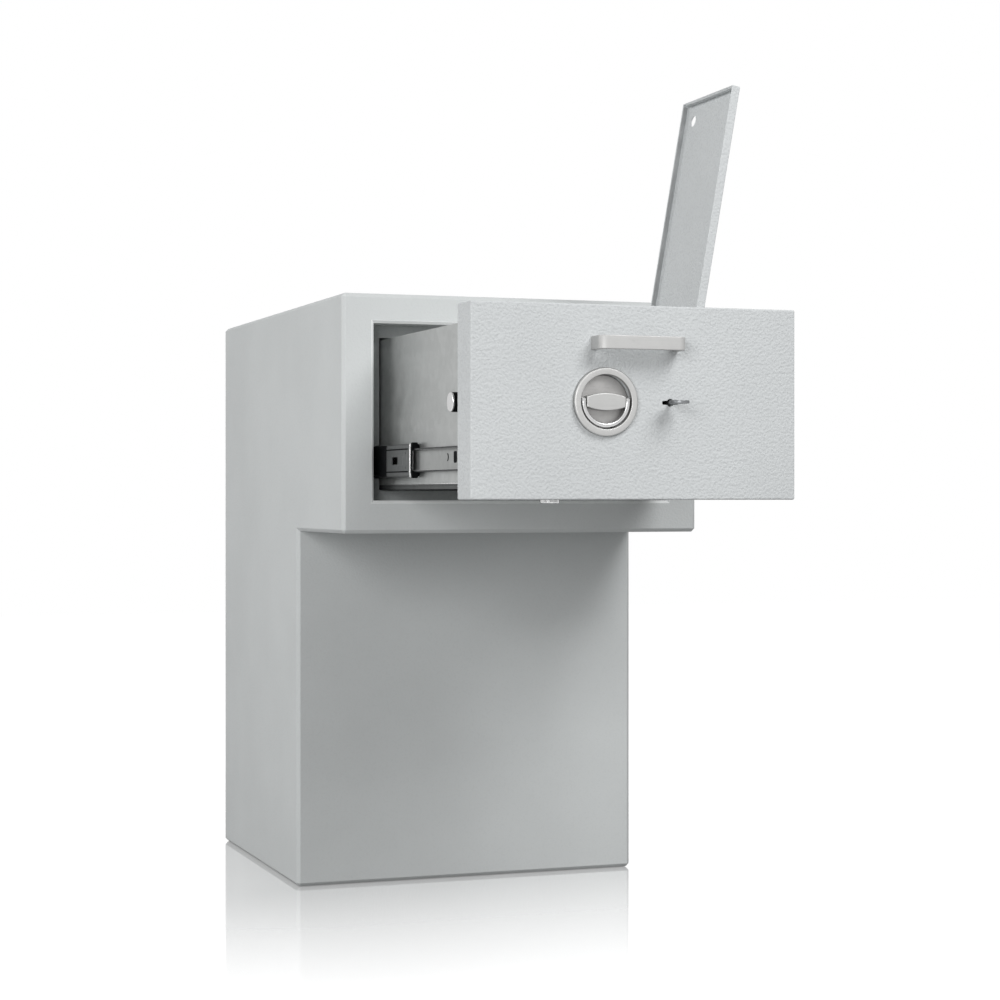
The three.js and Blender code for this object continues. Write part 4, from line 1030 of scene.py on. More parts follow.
    def anchor_covers(self) -> None:
        """Build the push-in covers of the four anchor holes."""
        profile = [(0, -3), (6.6, -3), (6.6, 0.2), (10, 0.2), (9.4, 1.8), (3, 2.4), (0, 2.4)]
        form = Form()
        for place in self.anchors(self.wall):
            form.turned(profile, Axis.Z, place, 32)
        add_piece(form, "anchor_hole_covers", "carcass", Slot.PLASTIC)


@dataclass(frozen=True)
class RailShape:
    """The section of a rolled rail, with depths counted inwards from the cabinet rail's back."""

    back: float
    lips: float
    height: float
    curl: float = 0.0


@dataclass
class DrawerSlide:
    """One ball-bearing slide with its cabinet, middle and drawer rail."""

    side: int
    hand: str
    level: float = 510.2
    outer_x: float = 173.7
    gauge: float = 1.3
    cabinet: RailShape = RailShape(0.0, 9.4, 45.7, 3.2)
    middle: RailShape = RailShape(1.7, 10.9, 35.7, 3.4)
    drawer: RailShape = RailShape(12.3, 5.3, 24.8)
    screw_pitch: float = 72.5
    screw_hole: float = 3.1
    windows: tuple[Place, ...] = ((-453.0, -431.0, 8.3), (-344.0, -335.0, 9.0), (-265.0, -235.0, 8.3))
    slot: tuple[Span, Span] = ((-440.0, -410.0), (507.0, 513.4))
    tab: Span = (-487.0, -457.0)
    tab_half: float = 7.0
    ribs: tuple[Place, ...] = ((-482.0, -478.5, 2.0), (-474.0, -472.0, -2.0))
    groove: float = 12.3
    groove_start: float = -491.0
    # Where the black sleeve of painted shade lies on the middle rail, and its half height.
    sleeve: Span = (-411.0, -352.5)
    shade_sleeve_half: float = 17.4
    # A dark patch of painted shade, then the dark crescent mark and its height.
    slot_shade_patch: tuple[Span, Span] = ((-629.0, -618.2), (505.7, 518.0))
    tongue: Span = (-598.2, -594.6)
    tongue_level: float = 512.0
    ball: float = 1.85
    ball_row: float = 14.5
    ball_pitch: float = 11.0
    ball_depth: float = 8.3
    cage_start: float = 6.0
    cage_end: float = 96.0
    buffer_half: float = 17.6
    reach: float = 11.2
    lip: float = 2.4
    drawer_screws: Span = (-655.0, -375.0)

    def build(self) -> None:
        """Build the three rails."""
        self.cabinet_rail()
        self.middle_rail()
        self.drawer_rail()

    def across(self, depth: float) -> float:
        """Return where a depth is across the part."""
        return self.side * (self.outer_x - depth)

    def web(self, shape: RailShape) -> float:
        """Return the depth of the middle of a rail's web."""
        return shape.back + math.copysign(self.gauge / 2, shape.lips - shape.back)

    def rail(self, shape: RailShape, span: Span) -> Form:
        """Roll one rail.

        Args:
            shape: its section.
            span: its two ends.

        Returns:
            The rail.
        """
        web = self.web(shape)
        lips = shape.lips - math.copysign(self.gauge / 2, shape.lips - shape.back)
        half = shape.height / 2 - self.gauge / 2
        corners = [(lips, half), (web, half), (web, -half), (lips, -half)]
        if shape.curl:
            corners = [(lips, half - shape.curl), *corners, (lips, shape.curl - half)]
        part = bmesh.new()
        verts = [part.verts.new((self.across(u), span[0], self.level + v)) for u, v in corners]
        edges = [part.edges.new(pair) for pair in zip(verts, verts[1:])]
        pushed = bmesh.ops.extrude_edge_only(part, edges=edges)
        bmesh.ops.translate(part, vec=(0, span[1] - span[0], 0), verts=verts_in(pushed))
        bmesh.ops.recalc_face_normals(part, faces=part.faces)
        folded = Form(part).bevel(1.5, 3)
        return folded.modified("SOLIDIFY", thickness=self.gauge, offset=0.0, use_even_offset=True)

    def cabinet_rail(self) -> None:
        """Build the cabinet rail with its screw holes."""
        node = "slide_outer_" + self.hand
        span = Extent.of(node).spans[1]
        holes = Form()
        y = span[0] + 30
        while y <= span[1] - 30:
            holes.rod(self.screw_hole, (-20, 20), Axis.X, (self.across(0.6), y, self.level), 24)
            y += self.screw_pitch
        add_piece(self.rail(self.cabinet, span).less(holes), node + "_rolled", "carcass", Slot.ZINC, [node])

    def middle_rail(self) -> None:
        """Build the middle rail, its ball cage and its front buffer."""
        node = "slide_mid_" + self.hand
        span = Extent.of(node).spans[1]
        windows = Form()
        x = self.across(self.web(self.middle))
        for start, end, height in self.windows:
            windows.box(around(x, 3), (start, end), around(self.level, height / 2))
        body = BODY_OF[node]
        form = self.rail(self.middle, span).less(windows)
        # The middle rail's darker zinc is painted shade.
        add_piece(form, node + "_rolled", body, Slot.ZINC, [node], finish=PAINTED_SHADE_ZINC)
        self.embossing(body, x + self.side * self.gauge / 2, span[1])
        self.cage(body, span[0])
        self.buffer(body)

    def embossing(self, body: str, face: float, back: float) -> None:
        """Build what is on the outer face of the middle rail: a stop tab, black strips that paint the shade in its two
        pressed channels, and a black sleeve of painted shade.

        Args:
            body: the body that carries it.
            face: where the web's outer face is.
            back: where the rail ends.
        """
        def raised(under: float, over: float) -> Span:
            """Return the span from under the face to over it."""
            return (face - self.side * under, face + self.side * over)

        low, high = around(self.level, self.tab_half)
        tab = Form().box(raised(0.4, 0.5), self.tab, (low, high)).bevel(0.4, 2)
        for start, end, taller in self.ribs:
            rib = Form().box(raised(0.3, 0.9), (start, end), (low - taller, high + taller))
            tab = tab.plus(rib.bevel(0.3, 2))
        add_piece(tab, f"slide_stop_tab_{self.hand}", body, Slot.ZINC, finish=PAINTED_SHADE_ZINC)
        # Black strips: painted shade where the rail has its two pressed channels.
        groove_shades = Form()
        for up in SIDES:
            level = self.level + up * self.groove
            groove_shades.box(raised(0.3, 0.06), (self.groove_start, back - 4), around(level, 0.75))
        add_piece(groove_shades, f"slide_groove_shade_strips_{self.hand}", body, Slot.PLASTIC)
        # A thin black sleeve over the rail: painted shade where it runs near the housing.
        sleeve = Form().box(raised(0.2, 0.3), self.sleeve, around(self.level, self.shade_sleeve_half)).bevel(0.1, 1)
        add_piece(sleeve, f"slide_shade_sleeve_{self.hand}", body, Slot.PLASTIC)

    def cage(self, body: str, front: float) -> None:
        """Build the ball cage between the middle and the drawer rail.

        Args:
            body: the body that carries it.
            front: where the middle rail starts.
        """
        x = self.across(self.ball_depth)
        sheet = around(x, 0.5)
        start, end = front + self.cage_start, front + self.cage_end
        strips = Form()
        balls = Form()
        for up in SIDES:
            z = self.level + up * self.ball_row
            strips.box(sheet, (start, end), around(z, 1.5))
            for i in range(8):
                y = front + 12 + i * self.ball_pitch
                strips.rod(2.5, (-0.9, 0.9), Axis.X, (x, y, z), 16)
                balls.ball(self.ball, (x, y, z), 12)
        for bridge in ((start, front + 12), (front + 90, end)):
            strips.box(sheet, bridge, around(self.level, self.ball_row))
        add_piece(strips, f"ball_cage_{self.hand}", body, Slot.BRIGHT)
        add_piece(balls, f"slide_balls_{self.hand}", body, Slot.BRIGHT, finish=STEEL_BALLS)

    def buffer(self, body: str) -> None:
        """Build the moulded buffer and the flared metal lip behind it, at the front of the middle rail.

        Args:
            body: the body that carries them.
        """
        node = "slide_bumper_" + self.hand
        extent = Extent.of(node)
        front, back = extent.low.y + 7.1, extent.high.y
        lip_front = back - self.lip
        tall = around(self.level, self.buffer_half)
        form = Form().box((self.across(self.reach), self.across(2.4)), (front, lip_front - 0.1), tall)
        form = form.bevel(1.2, 3).less(self.inner_room(extent))
        ears = Form()
        curls = Form()
        ear = [(0, -3.6), (2.4, -3.6), (3.0, -2.8), (3.0, 2.8), (2.4, 3.6), (0, 3.6)]
        curl = [(1.7, -4.4), (2.9, -4.4), (2.9, 4.4), (1.7, 4.4), (1.7, -4.4)]
        for up in SIDES:
            ears.turned(ear, Axis.X, (self.across(6.4), front + 3.2, self.level + up * 16.4), 24)
            curls.turned(curl, Axis.X, (self.across(6.6), lip_front - 0.6, self.level + up * 16.0), 32)
        add_piece(form.plus(ears), f"slide_buffer_{self.hand}", body, Slot.PLASTIC, [node])
        lip = Form().box((self.across(self.reach + 0.7), self.across(1.8)), (lip_front, back), tall)
        lip.bevel(0.9, 3, lambda middle, way: abs(way.x) < 0.5)
        lip = lip.less(self.inner_room(extent)).plus(curls)
        add_piece(lip, f"slide_lip_{self.hand}", body, Slot.BRIGHT)

    def inner_room(self, buffer: Extent) -> Form:
        """Return the room that the drawer rail needs through the buffer and its lip.

        Args:
            buffer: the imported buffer's extent.

        Returns:
            The room as a solid.
        """
        inner = Extent.of("slide_inner_" + self.hand)
        return Form().box(
            (self.side * 150, self.across(3.4)), (buffer.low.y - 9, buffer.high.y + 9),
            (inner.low.z - 0.6, inner.high.z + 0.6),
        )

    def drawer_rail(self) -> None:
        """Build the drawer rail with its slot, a dark patch and a dark mark, dark strips of painted shade along its
        lips, and screws.
        """
        node = "slide_inner_" + self.hand
        extent = Extent.of(node)
        span = extent.spans[1]
        x = self.across(self.web(self.drawer))
        cuts = Form().box(around(x, 3), *self.slot).bevel(2.8, 4, along(Axis.X))
        form = self.rail(self.drawer, span).less(cuts)
        # The drawer rail's darker zinc is painted shade.
        add_piece(form, node + "_rolled", "drawer", Slot.ZINC, [node], finish=DRAWER_SHADE_ZINC)
        self.slot_shade_marks(x + self.side * self.gauge / 2)
        # Dark strips along the lips: painted shade.
        lip_shades = Form()
        for up in SIDES:
            level = self.level + up * (extent.high.z - self.level - 0.35)
            lip_shades.box((self.across(5.0), self.across(11.0)), (span[0] + 3, span[1] - 3), around(level, 0.7))
        add_piece(lip_shades.bevel(0.5, 2), f"slide_lip_shade_strips_{self.hand}", "drawer", Slot.DARK, finish=TRACK_SHADE_FINISH)
        places = [(self.across(self.drawer.back - self.gauge), y, self.level) for y in self.drawer_screws]
        add_piece(Heads(Axis.X, 3.6, 1.8, self.side).screws(places), f"slide_screws_{self.hand}", "drawer", Slot.BRIGHT)

    def slot_shade_marks(self, face: float) -> None:
        """Build a dark patch on the drawer rail that paints the shade of a slot, and a dark crescent mark near it.

        Args:
            face: where the web's outer face is.
        """
        thick = (-self.side * 0.3, self.side * 0.08)
        slot_shade_patch = Form().box((face + thick[0], face + thick[1]), *self.slot_shade_patch)
        slot_shade_patch.bevel(2.4, 4, along(Axis.X))
        start, end = self.tongue
        tongue = Form().rod(4.2, thick, Axis.X, (face, start, self.tongue_level), 40)
        tongue = tongue.less(Form().rod(4.4, (-3, 3), Axis.X, (face, end, self.tongue_level), 40))
        add_piece(slot_shade_patch.plus(tongue), f"slide_slot_shade_{self.hand}", "drawer", Slot.PLASTIC)


@dataclass
class DrawerFace:
    """The thick front pan with its back sheet, pull handle and handle screws."""

    edge: float = 1.9
    skin: float = 8.0
    rim: float = 4.0
    rotor_hole: float = 28.0
    barrel: float = 4.1
    slot_half: float = 9.0
    slot_wide: float = 2.1
    pull_middle: float = -2.6
    pull_half: float = 48.0
    pull_bar: float = 6.5
    pull_post: float = 44.75
    pull_level: float = 625.9
    sheet_screws: Span = (476.5, 656.5)

    def build(self) -> None:
        """Build the front and its pull handle."""
        extent = Extent.of("drawer_front")
        low, high = extent.low, extent.high
        pan = Form().box(*extent.spans)
        pan.bevel(self.edge, 4, lambda middle, way: middle.y < high.y - 1)
        pan.bevel(0.5, 2, lambda middle, way: middle.y > high.y - 0.1, degrees=50)
        pocket = Form().box(
            (low.x + self.rim, high.x - self.rim), (low.y + self.skin, high.y + 9),
            (low.z + self.rim, high.z - self.rim),
        )
        through = (low.y - 9, low.y + self.skin + 9)
        add_piece(
            pan.less(pocket, self.round_holes(through), self.keyhole(through)), "drawer_front_pan", "drawer",
            Slot.FRONT, ["drawer_front"],
        )
        soften("front_back_sheet")
        sheet = Extent.of("front_back_sheet")
        places = [(x, sheet.high.y, z) for x in (sheet.low.x + 9, sheet.high.x - 9) for z in self.sheet_screws]
        add_piece(Heads(Axis.Y, 3.4, 1.6).screws(places), "back_sheet_screws", "drawer", Slot.BRIGHT)
        self.pull_handle()
        soften("pull_handle_screw_left", "pull_handle_screw_right")

    def round_holes(self, through: Span) -> Form:
        """Return cutters for the rotor's hole and the two screw holes of the pull handle.

        Args:
            through: where they start and end to the back.

        Returns:
            The cutters as one form.
        """
        form = Form().rod(self.rotor_hole, through, Axis.Y, (KNOB_PLACE[0], 0, KNOB_PLACE[1]), 128)
        for side in SIDES:
            form.rod(2.7, through, Axis.Y, (self.pull_middle + side * self.pull_post, 0, self.pull_level), 24)
        return form

    def keyhole(self, through: Span) -> Form:
        """Return a cutter for the keyhole: a barrel's hole with a slot for a bit on either side.

        Args:
            through: where it starts and ends to the back.

        Returns:
            The cutter.
        """
        x, z = KEY_PLACE
        slot = Form().box(around(x, self.slot_half), through, around(z, self.slot_wide))
        return Form().rod(self.barrel, through, Axis.Y, (x, 0, z)).plus(slot.bevel(1.6, 4, along(Axis.Y)))

    def pull_handle(self) -> None:
        """Build the bow-shaped pull handle of flat bar."""
        extent = Extent.of("pull_handle")
        tip, seat = extent.low.y, extent.high.y
        half, bar = self.pull_half, self.pull_bar
        outline = [
            (-half, seat), (-half, tip), (half, tip), (half, seat), (half - bar, seat), (half - bar, tip + bar),
            (bar - half, tip + bar), (bar - half, seat),
        ]
        outline = [(self.pull_middle + x, y) for x, y in outline]
        upright = along(Axis.Z)
        form = Form().prism(outline, extent.spans[2], Axis.Z)
        form.bevel(9.0, 8, lambda middle, way: upright(middle, way) and middle.y < tip + 1)
        form.bevel(3.4, 6, lambda middle, way: upright(middle, way) and abs(middle.y - tip - bar) < 1, degrees=60)
        form.bevel(0.9, 3, lambda middle, way: abs(way.z) < 0.2, degrees=50)
        add_piece(form, "pull_handle_bar", "drawer", Slot.SATIN, ["pull_handle"], crease=60, finish=PULL_FINISH)


@dataclass
class TurningHandle:
    """The round rosette with its sunk rotor, lens-shaped bridge and folding bail."""

    outer: float = 34.95
    inner: float = 27.7
    disc: float = 27.3
    sunk: float = 3.0
    bridge_half: float = 21.3
    bridge_middle: float = 8.9
    bridge_end: float = 5.2
    bridge_steps: int = 24
    bail: float = 24.05
    pivot: float = 568.6

    def build(self) -> None:
        """Build the rosette, rotor, bridge and bail."""
        ring = Extent.of("rosette_ring")
        seat, crown = ring.high.y, ring.low.y
        centre = (KNOB_PLACE[0], 0.0, KNOB_PLACE[1])
        profile = [
            (self.inner, seat), (self.inner, crown + 0.9), (self.inner + 0.3, crown + 0.3),
            (self.inner + 0.9, crown), (self.outer - 2.2, crown), (self.outer - 1.3, crown + 0.25),
            (self.outer - 0.6, crown + 0.7), (self.outer - 0.15, crown + 1.5), (self.outer, crown + 2.4),
            (self.outer, seat), (self.inner, seat),
        ]
        add_piece(
            Form().turned(profile, Axis.Y, centre, 128), "rosette_ring_turned", "drawer", Slot.SATIN,
            ["rosette_ring"], crease=50, finish=BRUSHED_RING,
        )
        back = Extent.of("turning_handle").high.y
        floor = back - self.sunk
        profile = [(0, back), (self.disc, back), (self.disc, floor + 0.5), (self.disc - 0.5, floor), (0, floor)]
        disc = Form().turned(profile, Axis.Y, centre, 96)
        add_piece(disc, "rotor_disc", "turning_handle", Slot.SATIN, finish=RECESS_FINISH, crease=50)
        self.bridge(crown, floor)
        self.folding_bail()
        soften("handle_spindle")

    def bridge(self, crown: float, floor: float) -> None:
        """Build the bridge across the rotor, which two arcs bound.

        Args:
            crown: how far out it stands.
            floor: where the sunk floor of the rotor is.
        """
        sag = self.bridge_middle - self.bridge_end
        radius = (self.bridge_half ** 2 + sag * sag) / (2 * sag)
        sweep = math.asin(self.bridge_half / radius)
        turns = [sweep - 2 * sweep * i / self.bridge_steps for i in range(self.bridge_steps + 1)]
        rise = self.bridge_middle - radius
        arc = [(radius * math.sin(turn), rise + radius * math.cos(turn)) for turn in turns]
        outline = [(KNOB_PLACE[0] + way * x, KNOB_PLACE[1] + way * z) for way in (1, -1) for x, z in arc]
        form = Form().prism(outline, (crown, floor + 0.4), Axis.Y)
        form.bevel(1.2, 3, lambda middle, way: abs(way.y) < 0.5 and middle.y < floor - 1, degrees=50)
        add_piece(form, "handle_bridge", "turning_handle", Slot.SATIN, ["turning_handle"], crease=50)

    def folding_bail(self) -> None:
        """Build the half-round bail with its straight legs and rounded eyes."""
        x, z = KNOB_PLACE
        y = Extent.of("handle_bail").middle.y
        section = [(0.9, 2.4), (1.8, 2.0), (2.3, 1.1), (2.3, -1.1), (1.8, -2.0), (0.9, -2.4)]
        corners = section + [(-u, v) for u, v in reversed(section)]
        part = bmesh.new()
        face = part.faces.new([part.verts.new((self.bail + u, v, 0.0)) for u, v in corners])
        bmesh.ops.spin(
            part, geom=[face], cent=(0, 0, 0), axis=(0, 1, 0), angle=math.pi, steps=48, use_merge=False,
            use_duplicate=False,
        )
        if sum(vert.co.z for vert in part.verts) > 0:
            bmesh.ops.scale(part, vec=(1, 1, -1), verts=part.verts)
        form = Form().take(part, Matrix.Translation((x, y, z)))
        legs = Form()
        eyes = Form()
        eye = [(0, -2.4), (1.6, -2.4), (2.4, -1.6), (2.4, 1.6), (1.6, 2.4), (0, 2.4)]
        for side in SIDES:
            leg = x + side * self.bail
            legs.prism([(leg + u, y + v) for u, v in corners], (z - 0.2, self.pivot), Axis.Z)
            eyes.turned(eye, Axis.Y, (leg, y, self.pivot), 32)
        add_piece(form.plus(legs, eyes), "folding_bail", "bail", Slot.BRIGHT, ["handle_bail"], crease=40)


@dataclass
class Boltwork:
    """Three round bolts, their guides and the key lock."""

    radius: float = 10.0
    chamfer: float = 0.9
    axis_y: float = -662.0
    level: float = 566.7
    side_length: float = 54.0
    # Where the black sleeve of painted shade lies behind each side bolt's tip.
    sleeve: Span = (2.2, 11.0)
    bottom_x: float = -73.5
    bottom_length: float = 91.0
    bow: float = 10.0
    bow_hole: float = 4.0
    neck: float = 24.0
    bit_half: float = 8.6
    nicks: tuple[Point, ...] = ((1.2, 2.6), (3.2, 1.4), (5.2, 3.2))

    def round_bolt(self, axis: Axis, place: Place, tip: float, back: float) -> Form:
        """Turn a bolt with a chamfered tip and a fine centre mark.

        Args:
            axis: its direction.
            place: a point on its axis, with nought on the axis itself.
            tip: where its tip is along the axis.
            back: where it ends.

        Returns:
            The bolt.
        """
        way = 1.0 if back > tip else -1.0
        radius, chamfer = self.radius + 0.02, self.chamfer
        profile = [
            (0, tip + way * 0.5), (0.9, tip), (radius - chamfer, tip),
            (radius - chamfer * 0.35, tip + way * chamfer * 0.35), (radius, tip + way * chamfer), (radius, back),
            (0, back),
        ]
        return Form().turned(profile, axis, place, 72)

    def build(self) -> None:
        """Build the bolts, guides and lock."""
        for side, hand in HANDS:
            node = "bolt_" + hand
            tip = Extent.of(node).spans[0][side > 0]
            place = (0, self.axis_y, self.level)
            pin = self.round_bolt(Axis.X, place, tip, tip - side * self.side_length)
            add_piece(Form.of_nodes(node).plus(pin), node + "_turned", BODY_OF[node], Slot.BRIGHT, [node])
            # A thin black sleeve just behind each tip: painted shade where the front shades the bolt.
            ends = (tip - side * self.sleeve[0], tip - side * self.sleeve[1])
            sleeve = Form().rod(self.radius + 0.15, ends, Axis.X, place, 72).bevel(0.12, 1)
            add_piece(sleeve, "bolt_shade_sleeve_" + hand, BODY_OF[node], Slot.PLASTIC)
            soften("bolt_guide_" + hand, width=0.6)
        low = Extent.of("bolt_bottom").low.z
        pin = self.round_bolt(Axis.Z, (self.bottom_x, self.axis_y, 0), low, low + self.bottom_length)
        form = Form.of_nodes("bolt_bottom").plus(pin)
        add_piece(form, "bolt_bottom_turned", "bottom_bolt", Slot.BRIGHT, ["bolt_bottom"])
        soften("bolt_guide_bottom", "lock_case", "lock_bolt", width=0.6)
        self.key()

    def key(self) -> None:
        """Build the double-bitted key with its shaft and round bow."""
        extent = Extent.of("key")
        x, level = KEY_PLACE
        front, back = extent.low.y, extent.high.y
        neck = front + self.neck
        profile = [
            (0, neck - 5), (2.6, neck - 5), (2.6, neck + 2.0), (2.3, neck + 2.6), (2.3, back - 1.2), (2.0, back),
            (0, back),
        ]
        shaft = Form().turned(profile, Axis.Y, (x, 0, level), 40)
        bow = Form().rod(self.bow, (-1.5, 1.5), Axis.Z, (0, 0, 0), 64)
        bow.moved(Matrix.LocRotScale((x, front + 12, level), None, (1, 1.2, 1))).bevel(0.6, 3, degrees=60)
        hole = Form().rod(self.bow_hole, (-4, 4), Axis.Z, (x, front + 10, level), 40)
        bits = Form().box(around(x, self.bit_half), (back - 7, back), around(level, 1.5))
        nicks = Form()
        for side in SIDES:
            edge = x + side * self.bit_half
            for offset, depth in self.nicks:
                nicks.box((edge - side * depth, edge + side), (back - offset - 1, back - offset), around(level, 4))
        form = shaft.plus(bow.less(hole), bits.less(nicks)).bevel(0.15, 1, degrees=60)
        add_piece(form, "double_bit_key", "key", Slot.BRIGHT, ["key"], finish=KEY_FINISH)


@dataclass
class DrawerBox:
    """The sheet-metal box behind the front, with its deck, chute, flap and lid."""

    hinge: Point = (117.7, 649.3)
    raised: float = 100.0
    lid_top: float = 649.9
    lid_sheet: float = 1.5
    lid_rim: float = 641.0
    lid_hem: Span = (640.9, 645.2)
    lid_shade_strip: Span = (640.6, 645.3)
    flange: float = 14.0
    # Where the strips of painted highlight end.
    highlight_end: float = -545.0
    front_rivets: Span = (-660.0, -635.0)
    deck_rivets: tuple[float, ...] = (-470.0, -405.0, -345.0)
    cross_rivets: tuple[float, ...] = (-100.0, -40.0, 40.0, 100.0)
    side_rivets: tuple[float, ...] = (545.0, 600.0, 640.0)

    def build(self) -> None:
        """Build the box and what is fixed to it."""
        soften(
            "box_side_left", "box_side_right", "box_floor", "mechanism_panel", "box_back", "box_deck",
            "deposit_chute", "deposit_flap", width=0.35,
        )
        soften("flap_pin")
        soften("lid_hinge_leaf", "lid_hinge_pin", width=0.2)
        self.fixings()
        self.floor_trim()
        self.lid()

    def floor_trim(self) -> None:
        """Build the two stiffening angles under the floor of the box, and bright strips along its lower edges that
        paint the highlight those edges catch away from the housing.
        """
        low, high = Extent.of("box_floor").low, Extent.of("box_floor").high
        side = Extent.of("box_side_left").low.x
        section = [
            (1.0, 0.3), (self.flange, 0.3), (self.flange, 1.5), (3.2, 1.5), (3.2, 5.4), (1.8, 5.4), (1.8, 1.5),
            (1.0, 1.5),
        ]
        flanges = Form()
        strips = Form()
        for way in SIDES:
            x = -way * side
            outline = [(x - way * inwards, low.z - down) for inwards, down in section]
            flanges.prism(outline, (low.y + 34.0, high.y - 6.0), Axis.Y)
            # Painted highlight: a bright strip along the lower edge, ending where the housing's shade begins.
            strips.box((x - way * 0.1, x + way * 0.35), (low.y + 36.0, self.highlight_end), (low.z, low.z + 1.3))
        # Their dark colour is painted shade.
        add_piece(flanges, "box_floor_flanges", "drawer", Slot.ZINC, finish=FLANGE_SHADE_ZINC)
        add_piece(strips.bevel(0.15, 1), "box_edge_highlight_strips", "drawer", Slot.BRIGHT)

    def fixings(self) -> None:
        """Build the rivets and screws of the box."""
        deck = Extent.of("box_deck")
        top = deck.high.z
        left, right = deck.low.x + 7, deck.high.x - 7
        heads = [(x, y, top) for rows in (self.front_rivets, self.deck_rivets) for x in (left, right) for y in rows]
        heads += [(x, -633.0, top) for x in self.cross_rivets]
        add_piece(Heads(Axis.Z, 3.0, 1.3).rivets(heads), "deck_rivets", "drawer", Slot.ZINC)
        leaf = Extent.of("lid_hinge_leaf")
        screws = [(leaf.high.x - 6, leaf.low.y + 10 + i * 35.0, top + 1.5) for i in range(4)]
        add_piece(Heads(Axis.Z, 3.0, 1.3).screws(screws), "hinge_leaf_screws", "drawer", Slot.BRIGHT)
        x = Extent.of("box_side_left").low.x
        for side, hand in HANDS:
            rivets = Heads(Axis.X, 2.6, 1.0, side).rivets([(-side * x, -340.0, z) for z in self.side_rivets])
            add_piece(rivets, f"side_rivets_{hand}", "drawer", Slot.ZINC)

    def lid(self) -> None:
        """Build the raised lid: a shallow folded tray with a finger hole and a hem, and a grey strip of painted shade
        inside its far rim.
        """
        pivot = Vector((self.hinge[0], 0, self.hinge[1]))
        turn = Matrix.Rotation(math.radians(self.raised), 4, "Y")
        raise_lid = Matrix.Translation(pivot) @ turn @ Matrix.Translation(-pivot)
        form = Form.of_nodes("deposit_lid").moved(raise_lid.inverted())
        left = min(vert.co.x for vert in form.bm.verts)
        right = max(vert.co.x for vert in form.bm.verts if vert.co.z < self.lid_rim)
        near = min(vert.co.y for vert in form.bm.verts)
        far = max(vert.co.y for vert in form.bm.verts)
        top, sheet = self.lid_top, self.lid_sheet
        inside = far - sheet

        def fold(middle: Vector, way: Vector) -> bool:
            """Tell the folded outer edges of the tray."""
            at_rim = abs(middle.x - left) < 0.3 or abs(middle.y - near) < 0.3 or abs(middle.y - far) < 0.3
            return abs(middle.z - top) < 0.2 and at_rim and abs(way.z) < 0.5

        def hollow(middle: Vector, way: Vector) -> bool:
            """Tell the inner corner along the far rim, which is rolled with a wide radius."""
            return abs(middle.z - top + sheet) < 0.1 and abs(middle.y - inside) < 0.1 and abs(way.x) > STRAIGHT

        form.bevel(1.3, 4, fold).bevel(3.0, 5, hollow).bevel(0.3, 2, degrees=60)
        start = left + sheet
        hem = Form().box((start - 0.2, start + 1.3), (near + sheet - 0.2, far - 6.0), self.lid_hem)
        hem.bevel(0.5, 3, lambda middle, way: middle.x > start)
        add_piece(form.plus(hem).moved(raise_lid), "folded_lid", "lid", Slot.FRONT, ["deposit_lid"])
        # A grey strip on the far rim's inner face: painted shade.
        shaded_strip = Form().box((left + 3.4, right - 1.9), (inside - 1.1, inside + 0.1), self.lid_shade_strip)
        shaded_strip.bevel(0.5, 3).moved(raise_lid)
        add_piece(shaded_strip, "lid_rim_shade_strip", "lid", Slot.PLASTIC, finish=RIM_SHADE_FINISH)


@dataclass
class RearDoor:
    """The collection door in the back with its hinge, cover, bolts and lever handle."""

    back: float = 194.0
    knob: Point = (40.0, 225.0)
    grip_half: float = 8.5
    grip_thick: float = 9.3
    leaf_proud: float = 3.3

    def build(self) -> None:
        """Build the door and its fittings."""
        soften("rear_door", width=1.2, segments=3)
        soften("rear_door_frame", width=0.5)
        soften("rear_door_cover", width=0.6)
        soften("rear_hinge_body_leaf", "rear_hinge_door_leaf", width=0.35)
        soften("rear_hinge_pin")
        soften("rear_bolts", width=0.6)
        soften("rear_key_plate", width=0.8, segments=3)
        self.lever()
        self.fixings()

    def lever(self) -> None:
        """Build the lever handle on its stepped hub."""
        extent = Extent.of("rear_handle")
        seat = self.back + 0.3
        x, z = self.knob
        profile = [
            (0, seat), (21, seat), (21, seat + 3), (19.5, seat + 4.5), (12, seat + 6), (11, seat + 16.4),
            (0, seat + 16.4),
        ]
        hub = Form().turned(profile, Axis.Y, (x, 0, z), 72)
        grip = Form().box(
            (extent.low.x, x + self.grip_half), (extent.high.y - self.grip_thick, extent.high.y),
            around(z, self.grip_half),
        )
        thin = [vert for vert in grip.bm.verts if vert.co.x < x - 20]
        bmesh.ops.scale(grip.bm, vec=(1, 1, 0.8), space=Matrix.Translation((0, 0, -z)), verts=thin)
        grip.bevel(6.4, 6, along(Axis.Y)).bevel(2.4, 4, degrees=50)
        keep = Form().box(around(x, 30), (100, seat + 0.2), around(z, 30))
        form = hub.plus(grip, Form.of_nodes("rear_handle").with_solids(Cut.SHARE, keep))
        add_piece(form, "lever_handle", "rear_handle", Slot.SATIN, ["rear_handle"], crease=40)

    def fixings(self) -> None:
        """Build the screws of the hinge and the cover."""
        leaf, door = Extent.of("rear_hinge_body_leaf"), Extent.of("rear_hinge_door_leaf")
        levels = [leaf.low.z + 16, leaf.middle.z - 34, leaf.middle.z + 34, leaf.high.z - 16]
        seat = self.back + self.leaf_proud
        for x, name, body in (
            (leaf.low.x + 9, "hinge_screws_body", "carcass"), (door.high.x - 9, "hinge_screws_door", "rear_door"),
        ):
            add_piece(Heads(Axis.Y, 3.6, 1.5).screws([(x, seat, z) for z in levels]), name, body, Slot.BRIGHT)
        cover = Extent.of("rear_door_cover")
        columns, rows = (cover.low.x + 12, cover.high.x - 12), (cover.low.z + 12, cover.high.z - 12)
        corners = [(x, cover.low.y, z) for x in columns for z in rows]
        add_piece(Heads(Axis.Y, 3.2, 1.4, -1).screws(corners), "cover_screws", "rear_door", Slot.BRIGHT)


